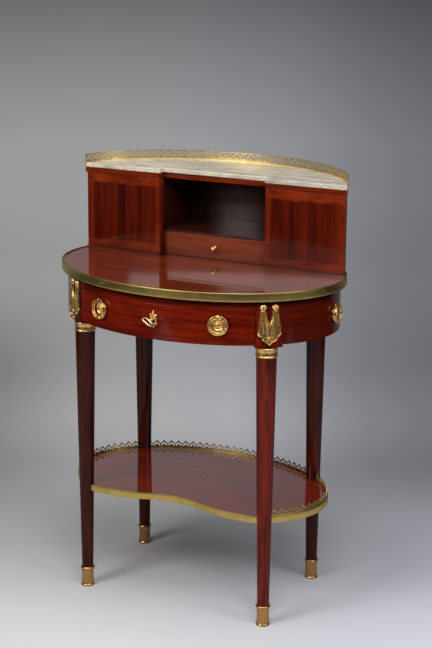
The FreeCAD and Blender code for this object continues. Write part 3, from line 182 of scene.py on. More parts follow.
class StudioSettings(PropertyGroup):
    key_watts: power_setting("Key light", 41.0)
    front_watts: power_setting("Front light", 38.0)
    fill_watts: power_setting("Fill light", 20.0)
    overhead_watts: power_setting("Overhead light", 28.0)
    room: FloatProperty(name="Room light", description="Strength of the even light of the room",
                        default=0.02, min=0.0)


# --- shader arithmetic
def both_ways(operation):
    """One operation on fields, and its form for a plain number on the left."""
    def forwards(self, other):
        return self.combine(operation, self, other)

    def backwards(self, other):
        return self.combine(operation, other, self)

    return forwards, backwards


class Field:
    """One output of a finish's nodes, used like a number."""

    def __init__(self, finish, socket):
        self.finish = finish
        self.socket = socket

    def combine(self, operation, first, second):
        return self.finish.add("ShaderNodeMath", {"operation": operation}, {0: first, 1: second})

    __add__, __radd__ = both_ways("ADD")
    __sub__, __rsub__ = both_ways("SUBTRACT")
    __mul__, __rmul__ = both_ways("MULTIPLY")
    __truediv__, __rtruediv__ = both_ways("DIVIDE")
    __pow__, __rpow__ = both_ways("POWER")

    def __abs__(self):
        return self.combine("ABSOLUTE", self, 0.0)

    def at_least(self, other):
        return self.combine("MAXIMUM", self, other)


class Finish:
    """A material and the nodes that make it."""

    def __init__(self, name, tree=None):
        if tree is None:
            self.material = bpy.data.materials.new(name)
            self.material.use_nodes = True
            tree = self.material.node_tree
        self.tree = tree
        self.tree.nodes.clear()

    def add(self, kind, settings=None, inputs=None, output=0):
        """Adds a node: its settings first, then the values or links of its sockets."""
        node = self.tree.nodes.new(kind)
        for key, value in (settings or {}).items():
            if key == "stops":
                self.set_stops(node.color_ramp.elements, value)
            else:
                setattr(node, key, value)
        for key, value in (inputs or {}).items():
            if isinstance(value, Field):
                self.tree.links.new(value.socket, node.inputs[key])
            else:
                node.inputs[key].default_value = value
        if output is None:
            return [Field(self, socket) for socket in node.outputs]
        return Field(self, node.outputs[output]) if len(node.outputs) else None

    @staticmethod
    def set_stops(elements, stops):
        while len(elements) < len(stops):
            elements.new(1.0)
        for element, (position, value) in zip(elements, stops):
            element.position = position
            element.color = (value, value, value, 1.0)

    def place(self):
        """Where the point lies on the object, in metres."""
        return self.add("ShaderNodeTexCoord", output="Object")

    def axes(self, vector):
        return self.add("ShaderNodeSeparateXYZ", None, {0: vector}, output=None)

    def stretch(self, vector, amounts):
        return self.add("ShaderNodeVectorMath", {"operation": "MULTIPLY"}, {0: vector, 1: amounts})

    def shift(self, vector, other):
        return self.add("ShaderNodeVectorMath", {"operation": "ADD"}, {0: vector, 1: other})

    def noise(self, vector, scale, detail, roughness, distortion=0.0):
        """Soft clouds: lumps to the metre, layers of finer lumps, their strength, and swirl."""
        return self.add("ShaderNodeTexNoise", None, {
            "Vector": vector, "Scale": scale, "Detail": detail, "Roughness": roughness,
            "Distortion": distortion,
        }, output="Fac")

    def between(self, value, low, high):
        """0 below low, 1 above high, and a smooth rise between them."""
        return self.add("ShaderNodeMapRange", {"interpolation_type": "SMOOTHSTEP"},
                        {"Value": value, "From Min": low, "From Max": high})

    def ramp(self, value, stops):
        return self.add("ShaderNodeValToRGB", {"stops": stops}, {"Fac": value})

    def blend(self, amount, first, second, how="MIX"):
        """A mix of two colours, each a plain one or a field."""
        first, second = [colour if isinstance(colour, Field) else (*colour, 1.0)
                         for colour in (first, second)]
        return self.add("ShaderNodeMix", {"data_type": "RGBA", "blend_type": how},
                        {0: amount, 6: first, 7: second}, output=2)

    def darken(self, colour, amount):
        return self.blend(amount, colour, BLACK)

    def tint(self, colour, other):
        return self.blend(1.0, colour, other, "MULTIPLY")

    def hollow(self, distance):
        """0 in hollows and 1 on open surfaces."""
        return self.add("ShaderNodeAmbientOcclusion", {"samples": 8}, {"Distance": distance},
                        output="AO")

    def bump(self, height, distance, strength):
        return self.add("ShaderNodeBump", None, {"Height": height, "Distance": distance,
                                                 "Strength": strength})

    def mix(self, amount, first, second):
        """A mix of two shaders."""
        return self.add("ShaderNodeMixShader", None, {0: amount, 1: first, 2: second})

    def done(self, **inputs):
        """Ends the material in one principled shader."""
        sockets = {key.replace("_", " "): value for key, value in inputs.items()}
        shader = self.add("ShaderNodeBsdfPrincipled", None, sockets)
        self.add("ShaderNodeOutputMaterial", None, {"Surface": shader})
        return self.material


# --- finishes
GRAIN_X = (1.0, 12.0, 12.0)
GRAIN_Z = (12.0, 12.0, 1.0)
GRAIN_LEVEL = (1.0, 1.0, 14.0)


def wood_figure(finish, place, grain, seed):
    """Streaks, broad clouds, fine lines and pores of a board, each from 0 to 1."""
    where = finish.shift(finish.stretch(place, grain), (seed, seed * 0.7, seed * 0.3))
    streaks = finish.noise(where, 11.0, 6.0, 0.62, 0.35)
    clouds = finish.noise(where, 2.6, 3.0, 0.5, 0.6)
    lines = finish.noise(where, 34.0, 4.0, 0.6, 0.2)
    pores = finish.between(finish.noise(where, 150.0, 2.0, 0.5), 0.56, 0.70)
    return streaks, clouds, lines, pores


def with_painted_shade(finish, colour):
    """A colour with painted shade: darker where it is closed in, and a painted shadow just under
    the edge of the top.
    """
    # Painted shade in hollows and closed-in corners, and a painted shadow of the top's edge on a
    # band just under it.
    closed = 1.0 - finish.between(finish.hollow(45 * MM), 0.20, 0.90)
    _, _, z = finish.axes(finish.place())
    below = finish.between(z, TOP_UNDERSIDE - 22 * MM, TOP_UNDERSIDE - 4 * MM)
    above = finish.between(z, TOP_UNDERSIDE, TOP_UNDERSIDE + 1 * MM)
    return finish.darken(finish.darken(colour, closed * 0.75), (below - above) * 0.72)


def polished(finish, colour, lines, pores, shine=0.9, haze=0.045, coat=1.38):
    """A French-polished surface over a coloured wood."""
    return finish.done(
        Base_Color=with_painted_shade(finish, colour), Roughness=0.26 + lines * 0.12, Coat_Weight=shine,
        Coat_Roughness=haze, Coat_IOR=coat, Specular_IOR_Level=0.05,
        Normal=finish.bump(lines * 0.5 - pores * 0.6, 0.4 * MM, 0.10),
    )


def mahogany(name, wood, part, grain, seed, contrast=1.0, **polish):
    """Plain mahogany in the dark and the light colour of one part."""
    dark, light = getattr(wood, part + "_dark"), getattr(wood, part + "_light")
    finish = Finish(name)
    streaks, clouds, lines, pores = wood_figure(finish, finish.place(), grain, seed)
    reach = 0.16 / contrast
    amount = finish.between(streaks * 0.55 + clouds * 0.3 + lines * 0.15, 0.5 - reach, 0.5 + reach)
    colour = finish.blend(amount, dark, light)
    colour = finish.blend(pores * 0.35, colour, dimmed(dark, 0.45))
    return polished(finish, colour, lines, pores, **polish)


def door_bands(finish, across, height):
    """The level crossbands, the upright ones and the panel's middle, each from 0 to 1."""
    low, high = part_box("door_right")
    top_band = finish.between(height, high.z - 23 * MM, high.z - 17 * MM)
    low_band = 1.0 - finish.between(height, low.z + 16 * MM, low.z + 22 * MM)
    inner = 1.0 - finish.between(across, low.x + 11 * MM, low.x + 14 * MM)
    outer = finish.between(across, high.x - 17 * MM, high.x - 14 * MM)
    rise = finish.between(across, low.x, low.x + 60 * MM)
    fall = finish.between(across, high.x - 60 * MM, high.x)
    return top_band.at_least(low_band * 0.7), inner.at_least(outer), rise - fall


def door_veneer(wood):
    """Ribbon-striped panels with a crossband all round, for both doors."""
    finish = Finish("door_mahogany")
    place = finish.place()
    x, _, z = finish.axes(place)
    upright = finish.stretch(place, (1.0, 1.0, 0.045))
    wave = (finish.noise(upright, 60.0, 2.0, 0.5) - 0.5) * (9 * MM)
    level, stile, middle = door_bands(finish, abs(x), z + wave)

    ribbons = finish.noise(upright, 74.0, 2.0, 0.5, 0.25)
    broad = finish.noise(upright, 28.0, 2.0, 0.5, 0.5)
    flecks = finish.noise(finish.stretch(place, (1.0, 1.0, 0.16)), 150.0, 3.0, 0.6)
    amount = finish.between(ribbons * 0.55 + broad * 0.3 + flecks * 0.15, 0.33, 0.67)
    panel = finish.blend(amount, wood.door_dark, wood.door_light)
    panel = finish.darken(panel, middle * 0.22)

    cross = finish.noise(finish.stretch(place, (0.12, 0.12, 1.0)), 190.0, 4.0, 0.6, 0.2)
    glow = finish.noise(place, 13.0, 2.0, 0.5)
    amount = finish.between(cross * 0.55 + glow * 0.45, 0.30, 0.62)
    band = finish.blend(0.1 + amount * 0.8, wood.door_dark, wood.band_light)

    colour = finish.blend(stile, panel, finish.blend(0.4, panel, band))
    colour = finish.blend(level, colour, band)
    pores = finish.noise(finish.stretch(place, (1.0, 1.0, 0.08)), 900.0, 2.0, 0.5)
    pores = finish.between(pores, 0.58, 0.7)
    colour = finish.blend(pores * 0.3, colour, dimmed(wood.door_dark, 0.5))
    return polished(finish, colour, flecks, pores, shine=0.85)


def oak_lining(wood):
    """Plain oak, open-pored and unpolished."""
    finish = Finish("oak")
    where = finish.stretch(finish.place(), (2.0, 2.0, 16.0))
    streaks = finish.noise(where, 14.0, 5.0, 0.6, 0.3)
    pores = finish.between(finish.noise(where, 70.0, 2.0, 0.5), 0.52, 0.66)
    amount = finish.between(streaks, 0.35, 0.65)
    colour = finish.blend(amount, wood.oak_dark, wood.oak_light)
    colour = finish.blend(pores * 0.5, colour, dimmed(wood.oak_dark, 0.5))
    return finish.done(Base_Color=colour, Roughness=0.62 + streaks * 0.2,
                       Normal=finish.bump(streaks - pores, 0.5 * MM, 0.3))


def brass_finish(name, metal, dulled=0.0, band=None):
    """Old rolled brass with duller patches; the edges of a band look rounded over."""
    finish = Finish(name)
    place = finish.place()
    patches = finish.between(finish.noise(place, 34.0, 5.0, 0.6, 0.8), 0.40, 0.66)
    specks = finish.between(finish.noise(place, 420.0, 3.0, 0.6), 0.56, 0.72)
    amount = patches * 0.28 + specks * 0.14 + dulled
    if band:
        low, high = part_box(band)
        half = (high.z - low.z) / 2
        _, _, z = finish.axes(place)
        rounding = 0.0 - (abs(z - (low.z + half)) / half) ** 4
        normal = finish.bump(rounding, 0.09 * half, 1.0)
    else:
        scratches = finish.noise(finish.stretch(place, (1.0, 1.0, 18.0)), 160.0, 3.0, 0.6)
        normal = finish.bump(scratches, 0.3 * MM, 0.10)
    return finish.done(Base_Color=finish.blend(amount, metal.brass, metal.tarnish),
                       Metallic=1.0, Roughness=0.31 + patches * 0.10 + specks * 0.08, Normal=normal)


def gilt_finish(name, metal, gilding):
    """Mercury gilding, bright on what stands proud and brown in the hollows, partly as patina and
    partly as painted shade.
    """
    finish = Finish(name)
    place = finish.place()
    open_face = finish.between(finish.hollow(3.5 * MM), 0.20, 0.85)
    rubbed = finish.between(finish.noise(place, 210.0, 4.0, 0.6), 0.42, 0.68)
    grain = finish.noise(place, 900.0, 2.0, 0.5)
    bright = finish.blend(rubbed * 0.22, gilding, metal.worn)
    # The hollows take the dimmed worn colour: partly the patina that gathers there, partly painted
    # shade.
    colour = finish.blend(open_face, dimmed(metal.worn, 0.55), bright)
    return finish.done(Base_Color=colour, Metallic=1.0,
                       Roughness=0.50 - open_face * 0.25 + rubbed * 0.12,
                       Normal=finish.bump(grain + rubbed, 0.4 * MM, 0.08))


def key_finish(metal):
    """A key kept bright by hands, a little duller in patches."""
    finish = Finish("key_brass")
    dull = finish.between(finish.noise(finish.place(), 150.0, 4.0, 0.6), 0.40, 0.70)
    colour = finish.blend(dull * 0.4, metal.bright, metal.brass)
    return finish.done(Base_Color=colour, Metallic=1.0, Roughness=0.16 + dull * 0.16,
                       Normal=finish.bump(dull, 0.3 * MM, 0.1))


def steel_finish(metal):
    """Steel with the marks of a file."""
    finish = Finish("steel")
    wear = finish.noise(finish.stretch(finish.place(), (1.0, 1.0, 8.0)), 220.0, 4.0, 0.6)
    colour = finish.blend(wear, dimmed(metal.steel, 0.6), metal.steel)
    return finish.done(Base_Color=colour, Metallic=1.0, Roughness=0.3 + wear * 0.2,
                       Normal=finish.bump(wear, 0.3 * MM, 0.15))


def marble_finish(marble):
    """White marble with soft grey clouds drawn out along the slab, and a few thin veins."""
    finish = Finish("marble")
    where = finish.stretch(finish.place(), (0.35, 1.0, 1.0))
    clouds = finish.noise(where, 16.0, 6.0, 0.6, 1.4)
    drift = finish.noise(where, 48.0, 5.0, 0.62, 0.8)
    veil = finish.between(clouds * 0.7 + drift * 0.3, 0.40, 0.62)
    crack = abs(finish.noise(where, 9.0, 7.0, 0.62, 1.8) - 0.5)
    vein = 1.0 - finish.between(crack, 0.0, 0.016)
    colour = finish.blend(veil * 0.75, marble.ground, marble.veil)
    colour = finish.blend(vein * 0.45, colour, marble.vein)
    return finish.done(Base_Color=colour, Roughness=0.16 + drift * 0.08, Specular_IOR_Level=0.5,
                       Normal=finish.bump(drift, 0.3 * MM, 0.04))


def give(material, *names):
    """Puts a material on every slot of the named nodes."""
    for name in names:
        for index in range(len(NODES[name].data.materials)):
            NODES[name].data.materials[index] = material


# --- mesh helpers
def smooth(mesh, sharp_deg):
    """Shades a mesh smooth, apart from the edges that turn by more than the given angle."""
    work = bmesh.new()
    work.from_mesh(mesh)
    bmesh.ops.recalc_face_normals(work, faces=work.faces)
    limit = math.radians(sharp_deg)
    for face in work.faces:
        face.smooth = True
    for edge in work.edges:
        edge.smooth = len(edge.link_faces) == 2 and edge.calc_face_angle(0.0) < limit
    work.to_mesh(mesh)
    work.free()
    mesh.update()


def round_y(radius, angle, out):
    """A point at a radius and an angle round the local Y axis, and a distance out along it."""
    return Vector((radius * math.cos(angle), out, radius * math.sin(angle)))


def bead_line(centre, radius, start, end, steps):
    """Points of a round moulding, from one angle to another in degrees."""
    angles = [math.radians(start + (end - start) * step / steps) for step in range(steps + 1)]
    return [(centre[0] + radius * math.cos(a), centre[1] + radius * math.sin(a)) for a in angles]


class Shape:
    """Vertices and faces gathered from simple closed forms, in metres."""

    def __init__(self):
        self.vertices = []
        self.faces = []

    def grid(self, rows, columns, point, wrap=False, close=False):
        """Adds rows x columns points and their faces; wrap joins the columns, close the rows."""
        start = len(self.vertices)
        self.vertices += [point(row, column) for row in range(rows) for column in range(columns)]
        for row in range(rows if close else rows - 1):
            here, below = start + row * columns, start + (row + 1) % rows * columns
            for column in range(columns if wrap else columns - 1):
                after = (column + 1) % columns
                self.faces.append((here + column, here + after, below + after, below + column))
        return start

    def cap(self, start, count):
        """Closes a ring of points with one face."""
        self.faces.append(tuple(range(start, start + count)))

    def lathe(self, profile, centre, steps=64):
        """A turned form about an upright axis, from (radius, height) points."""
        def point(row, column):
            angle = math.tau * column / steps
            radius, height = profile[row]
            return centre + Vector((radius * math.cos(angle), radius * math.sin(angle), height))

        start = self.grid(len(profile), steps, point, wrap=True)
        if profile[0] != profile[-1]:
            self.cap(start, steps)
            self.cap(start + (len(profile) - 1) * steps, steps)

    def ball(self, centre, radii, across=14, down=9, turn=None):
        """An egg with half sizes radii, turned by an optional 3 x 3 matrix."""
        turn = turn or Matrix.Identity(3)
        pole = turn @ Vector((0, 0, radii[2]))
        start = len(self.vertices)
        self.vertices.append(centre + pole)

        def point(row, column):
            polar = math.pi * (row + 1) / (down + 1)
            angle = math.tau * column / across
            return centre + turn @ Vector((
                radii[0] * math.sin(polar) * math.cos(angle),
                radii[1] * math.sin(polar) * math.sin(angle), radii[2] * math.cos(polar)))

        first = self.grid(down, across, point, wrap=True)
        last = first + (down - 1) * across
        end = len(self.vertices)
        self.vertices.append(centre - pole)
        for column in range(across):
            after = (column + 1) % across
            self.faces.append((start, first + column, first + after))
            self.faces.append((end, last + after, last + column))

    def hoop(self, centre, half_x, half_z, wire, wire_y, steps=28, around=8):
        """A closed loop of wire in the local XZ plane."""
        def point(row, column):
            angle, twist = math.tau * row / steps, math.tau * column / around
            out = wire * math.cos(twist)
            return centre + Vector(((half_x + out) * math.cos(angle), wire_y * math.sin(twist),
                                    (half_z + out) * math.sin(angle)))

        self.grid(steps, around, point, wrap=True, close=True)

    def arc(self, section, start, end, steps):
        """Carries a closed (radius, out) section round the local Y axis, and closes both ends."""
        def point(row, column):
            radius, out = section[column]
            return round_y(radius, start + (end - start) * row / (steps - 1), out)

        count = len(section)
        first = self.grid(steps, count, point, wrap=True)
        self.cap(first, count)
        self.cap(first + (steps - 1) * count, count)

    def relief(self, centre, radius, rise, rows, columns):
        """A round relief that faces local +Y, as high as rise(share of the radius, angle)."""
        def point(row, column):
            share, angle = 1 - row / rows, math.tau * column / columns
            return centre + round_y(radius * share, angle, rise(share, angle))

        def foot(row, column):
            return centre + round_y(radius, math.tau * column / columns, 0.0)

        first = self.grid(rows, columns, point, wrap=True)
        last = first + (rows - 1) * columns
        tip = len(self.vertices)
        self.vertices.append(centre + Vector((0.0, rise(0.0, 0.0), 0.0)))
        base = self.grid(1, columns, foot)
        for column in range(columns):
            after = (column + 1) % columns
            self.faces.append((tip, last + column, last + after))
            self.faces.append((first + column, first + after, base + after, base + column))
        self.cap(base, columns)

    def peg(self, centre, half, radius, around=20):
        """A round bar along local X."""
        def point(row, column):
            angle = math.tau * column / around
            return centre + Vector(((2 * row - 1) * half, radius * math.cos(angle),
                                    radius * math.sin(angle)))

        first = self.grid(2, around, point, wrap=True)
        self.cap(first, around)
        self.cap(first + around, around)

    def bead(self, points, radius, around=8):
        """A round bead that follows a line of points, drawn out to nothing at both ends."""
        last = len(points) - 1

        def point(row, column):
            line = points[min(row + 1, last)] - points[max(row - 1, 0)]
            side = line.cross(Vector((0.0, 1.0, 0.0))).normalized()
            out = side.cross(line).normalized()
            angle = math.tau * column / around
            width = radius * (0.15 if row in (0, last) else 1.0)
            return points[row] + (side * math.cos(angle) + out * math.sin(angle)) * width

        first = self.grid(last + 1, around, point, wrap=True)
        self.cap(first, around)
        self.cap(first + last * around, around)

    def slab(self, rows, columns, front, back, wrap=False):
        """A closed sheet between a front grid and a back grid."""
        first = self.grid(rows, columns, front, wrap)
        second = self.grid(rows, columns, back, wrap)
        edges = []
        for column in range(columns if wrap else columns - 1):
            after = (column + 1) % columns
            edges += [(row * columns + column, row * columns + after) for row in (0, rows - 1)]
        if not wrap:
            edges += [(row * columns + column, (row + 1) * columns + column)
                      for row in range(rows - 1) for column in (0, columns - 1)]
        self.faces += [(first + a, first + b, second + b, second + a) for a, b in edges]

    def build(self, name, material, transform=None, sharp_deg=38.0):
        mesh = bpy.data.meshes.new(name)
        points = [transform @ v for v in self.vertices] if transform else self.vertices
        mesh.from_pydata([tuple(v) for v in points], [], self.faces)
        mesh.validate()
        smooth(mesh, sharp_deg)
        mesh.materials.append(material)
        piece = bpy.data.objects.new(name, mesh)
        bpy.context.scene.collection.objects.link(piece)
        return piece


def gilt_mount(shape, name, body, node, gilding=GILDING, place=None, sharp_deg=50.0):
    """Builds a piece of gilt bronze that rides on its body and stands for a node."""
    piece = shape.build(name, bpy.data.materials[gilding], place, sharp_deg)
    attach(piece, body)
    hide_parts(node)


def oval_place(a, b, angle):
    """A point of an oval and its outward direction."""
    normal = Vector((math.cos(angle) / a, math.sin(angle) / b, 0.0)).normalized()
    return Vector((a * math.cos(angle), b * math.sin(angle), 0.0)), normal


def facing(point, normal):
    """The transform that puts local +Y along normal, and the local origin at point."""
    return Matrix((
        (normal.y, normal.x, 0.0, point.x),
        (-normal.x, normal.y, 0.0, point.y),
        (0.0, 0.0, 1.0, point.z),
        (0.0, 0.0, 0.0, 1.0),
    ))


def leg_place(name):
    """The foot of a leg's axis and the direction that its block faces."""
    side, end = LEGS[name]
    point, normal = oval_place(FRIEZE_A, FRIEZE_B, LEG_STATION)
    axis = point - normal * LEG_AXIS_INSET
    return (Vector((side * axis.x, end * axis.y, 0.0)),
            Vector((side * normal.x, end * normal.y, 0.0)))


def along(points, share):
    """The point at a share of a list of points that are evenly spread."""
    step = share * (len(points) - 1)
    index = min(int(step), len(points) - 2)
    (x0, z0), (x1, z1) = points[index], points[index + 1]
    return x0 + (x1 - x0) * (step - index), z0 + (z1 - z0) * (step - index)


# --- pieces
def collar_profile():
    """A sleeve with a round bead at each end and a hollow between, from (radius, height) points."""
    low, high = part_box("leg_collars")
    inner, outer = LEG_TOP_RADIUS + 0.1 * MM, LEG_TOP_RADIUS + COLLAR_WALL
    bead = 2.3 * MM
    waist = outer - 1.1 * MM
    middle = (low.z + high.z) / 2
    half = (high.z - low.z) / 2 - 2 * bead
    hollow = [(waist - 0.5 * MM * math.cos(math.pi / 2 * step / 4), middle + half * step / 4)
              for step in range(-4, 5)]
    return [(inner, low.z), *bead_line((outer - bead, low.z + bead), bead, -90, 60, 10), *hollow,
            *bead_line((outer - bead, high.z - bead), bead, -60, 90, 10),
            (inner, high.z), (inner, low.z)]


def sabot_profile():
    """A foot with a ring at its top, a ribbed and slightly hollow body and a spread base."""
    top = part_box("sabot_front_right")[1].z
    axis = 0.01 * MM
    body, ring = LEG_FOOT_RADIUS + 0.9 * MM, LEG_FOOT_RADIUS + 3.3 * MM
    socket, socket_floor = LEG_FOOT_RADIUS - 2.05 * MM, 6.0 * MM
    points = [(axis, 0.0)] + [(body + out * MM, height * MM) for out, height in (
        (0.5, 0.0), (1.3, 0.8), (1.4, 2.2), (1.0, 3.6), (-0.1, 4.6), (-0.3, 5.4))]
    low, high = 6.0 * MM, top - 6.2 * MM
    ribs = 9
    for step in range(ribs * 6 + 1):
        share = step / (ribs * 6)
        hollow = 0.55 * MM * math.sin(math.pi * share)
        rib = 0.22 * MM * abs(math.sin(math.pi * ribs * share))
        points.append((body - hollow + rib - 0.25 * MM, low + (high - low) * share))
    bead = 2.5 * MM
    points += bead_line((ring - bead, top - bead - 0.3 * MM), bead, -75, 75, 10)
    points += [(ring - 2.0 * MM, top), (socket, top), (socket, socket_floor), (axis, socket_floor)]
    return points


def block_face(axis, normal, x):
    """How far out from the leg's axis the block's bowed face lies, at a local x."""
    a, b = FRIEZE_A + BLOCK_PROUD, FRIEZE_B + BLOCK_PROUD
    start = axis + Vector((normal.y, -normal.x, 0.0)) * x
    p = (normal.x / a) ** 2 + (normal.y / b) ** 2
    q = 2 * (start.x * normal.x / a ** 2 + start.y * normal.y / b ** 2)
    r = (start.x / a) ** 2 + (start.y / b) ** 2 - 1.0
    return (-q + math.sqrt(q * q - 4 * p * r)) / (2 * p)


def flower(petals, height, heart):
    """The height of a flower: petals round a raised heart, which ends at a share of the radius."""
    def rise(share, angle):
        dome = height * math.sqrt(max(0.0, 1.0 - share * share))
        if share < heart:
            return height * (0.94 + 0.34 * math.sqrt(1.0 - (share / heart) ** 2))
        blade = abs(math.cos(0.5 * petals * angle)) ** 0.7
        groove = math.exp(-((share - heart) / 0.09) ** 2)
        return max(0.0, dome * (0.62 + 0.38 * blade) - 0.28 * height * groove)
    return rise


def cloth_place(mounts, v, u):
    """Where a point lies in a flat cloth: v from the boss to the hem, u from its outer edge in."""
    half, length, boss = mounts.drapery_half_width, mounts.drapery_length, mounts.boss_spacing / 2
    outer = [(boss + 0.20 * half, -0.07 * length), (0.82 * half, -0.22 * length),
             (0.93 * half, -0.45 * length), (1.0 * half, -0.71 * length)]
    inner = [(boss - 0.20 * half, -0.07 * length), (0.22 * half, -0.26 * length),
             (0.0, -0.47 * length), (-0.10 * half, -0.97 * length)]
    hem = [(1.0 * half, -0.71 * length), (0.76 * half, -0.75 * length),
           (0.60 * half, -0.84 * length), (0.28 * half, -0.91 * length),
           (-0.10 * half, -1.0 * length)]
    x, z = along([along(outer, v), along(inner, v)], u)
    end_x, end_z = along([outer[-1], inner[-1]], u)
    hem_x, hem_z = along(hem, u)
    pull = v ** 4
    return x + (hem_x - end_x) * pull, z + (hem_z - end_z) * pull


def drapery_cloth(shape, mounts, side, on_block):
    """One cloth in its folds, with a raised rim down both edges and along the hem."""
    folds = mounts.drapery_folds
    rows, columns = 30, 16 * folds + 1

    def front(row, column):
        v, u = row / (rows - 1), column / (columns - 1)
        x, z = cloth_place(mounts, v, u)
        fold = abs(math.sin(math.pi * (folds * u + 0.35 * math.sin(3.2 * v + 1.5 * u)))) ** 0.75
        edge = min(1.0, 10.0 * min(u, 1.0 - u) + 0.35)
        depth = mounts.fold_depth * (0.55 + 0.45 * v)
        swell = 1.6 * MM * math.sin(math.pi * u)
        overlap = 1.2 * MM if side > 0 else 0.0
        return on_block(side * x, edge * (0.6 * MM + depth * fold + swell) + overlap * v, z)

    def back(row, column):
        x, z = cloth_place(mounts, row / (rows - 1), column / (columns - 1))
        return on_block(side * x, 0.05 * MM, z)

    shape.slab(rows, columns, front, back)
    rim = [front(row, 0) for row in range(rows)]
    rim += [front(rows - 1, column) for column in range(2, columns, 3)]
    rim += [front(row, columns - 1) for row in reversed(range(2, rows - 1))]
    shape.bead(rim, mounts.rim_radius)


def drapery_shape(name, mounts):
    """Two cloths that hang in folds from two bosses and cross, with tassels at their corners."""
    axis, normal = leg_place(name)
    hook = TOP_UNDERSIDE - mounts.drapery_drop
    half, length = mounts.drapery_half_width, mounts.drapery_length
    shape = Shape()

    def on_block(x, out, z):
        """A point that stands out from the block's face, at a height from the bosses."""
        return Vector((x, block_face(axis, normal, x) + out, z + hook))

    def tassel(centre, half_x, half_y, half_z, across, down):
        shape.ball(centre, mm(half_x, half_y, half_z), across, down)

    for side in (1, -1):
        drapery_cloth(shape, mounts, side, on_block)
        boss = on_block(side * mounts.boss_spacing / 2, 0.0, 0.0)
        shape.relief(boss, mounts.boss_radius, flower(6, 0.62 * mounts.boss_radius, 0.34), 14, 64)
        tassel(boss + Vector((0.0, 1.9 * MM, -0.095 * length)), 3.9, 2.2, 1.9, 14, 9)
        corner = on_block(side * 0.96 * half, 2.2 * MM, -0.70 * length)
        tassel(corner, 2.2, 2.0, 2.9, 12, 9)
        tassel(corner - Vector((side * 3.6 * MM, 0.0, 1.2 * MM)), 1.7, 1.8, 2.0, 10, 8)
    middle = on_block(0.0, 0.0, 0.0)
    tassel(middle + Vector((0.05 * half, 4.6 * MM, -0.79 * length)), 2.2, 2.0, 2.6, 14, 9)
    tassel(middle + Vector((0.02 * half, 2.4 * MM, -0.975 * length)), 1.9, 1.9, 2.0, 12, 8)
    return shape, facing(axis, normal)


def escutcheon_plate(shape, wide, tall):
    """A lobed oval plate, domed between its edge and a keyhole."""
    steps, rows = 96, 9
    hole, slot, drop = 2.9 * MM, 1.9 * MM, 9.0 * MM

    def keyhole(angle):
        if math.sin(angle) > 0:
            return hole
        sideways = abs(math.cos(angle))
        return drop if sideways < 1e-6 else max(hole, min(drop, slot / sideways))

    def edge(angle):
        oval = 1.0 / math.hypot(math.cos(angle) / (0.78 * wide), math.sin(angle) / (0.66 * tall))
        return oval + 0.6 * MM * math.cos(8 * angle)

    def point(row, column, height):
        angle, share = math.tau * column / steps, row / (rows - 1)
        radius = keyhole(angle) + (edge(angle) - keyhole(angle)) * share
        return round_y(radius, angle, height(share))

    def domed(row, column):
        return point(row, column, lambda share: 0.55 * MM + 1.3 * MM * math.sin(math.pi * share))

    shape.slab(rows, steps, domed, lambda r, c: point(r, c, lambda share: 0.0), wrap=True)


def escutcheon_shape():
    """A pierced shield with a moulded rim, four scrolls, and a leaf above and below."""
    low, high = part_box("escutcheon")
    wide, tall = (high.x - low.x) / 2, (high.z - low.z) / 2
    shape = Shape()
    escutcheon_plate(shape, wide, tall)
    rim = 0.75 * MM
    shape.hoop(Vector((0, 1.5 * MM, 0)), 0.66 * wide, 0.60 * tall, rim, rim, steps=48)
    for up in (1, -1):
        for side in (1, -1):
            scroll = Vector((side * 0.74 * wide, 0.9 * MM, up * 0.47 * tall))
            shape.hoop(scroll, 2.0 * MM, 2.0 * MM, 0.95 * MM, 1.3 * MM, steps=18)
            shape.ball(scroll + Vector((0, 0.8 * MM, 0)), mm(1.2, 1.2, 1.2), 10, 7)
            shape.ball(Vector((side * 0.86 * wide, 0.7 * MM, up * 0.16 * tall)),
                       mm(0.9, 0.8, 2.2), 8, 6)
        for lean, reach, size in ((0, 0.83, 3.4), (-24, 0.74, 2.5), (24, 0.74, 2.5)):
            angle = math.radians(lean)
            leaf = Vector((math.sin(angle) * 4.0 * MM, 0.9 * MM, up * reach * tall))
            shape.ball(leaf, (1.25 * MM, 1.3 * MM, size * MM), 10, 8,
                       Matrix.Rotation(up * angle, 3, "Y"))
        shape.ball(Vector((0.0, 1.6 * MM, up * 0.62 * tall)), mm(2.0, 2.0, 2.0), 12, 8)
    middle = Matrix.Translation((0, high.y, (low.z + high.z) / 2))
    return shape, middle @ Matrix.Rotation(math.pi, 4, "Z")


def pull_places():
    """The four ring pulls: their centres on the frieze and the directions they face."""
    low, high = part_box("drawer_front")
    angle = math.acos(RING_X / FRIEZE_A)
    angles = {
        "drawer_ring_left": math.pi + angle,
        "drawer_ring_right": -angle,
        "side_ring_left": math.pi,
        "side_ring_right": 0.0,
    }
    places = {name: oval_place(FRIEZE_A, FRIEZE_B, at) for name, at in angles.items()}
    for point, _ in places.values():
        point.z = (low.z + high.z) / 2
    return places


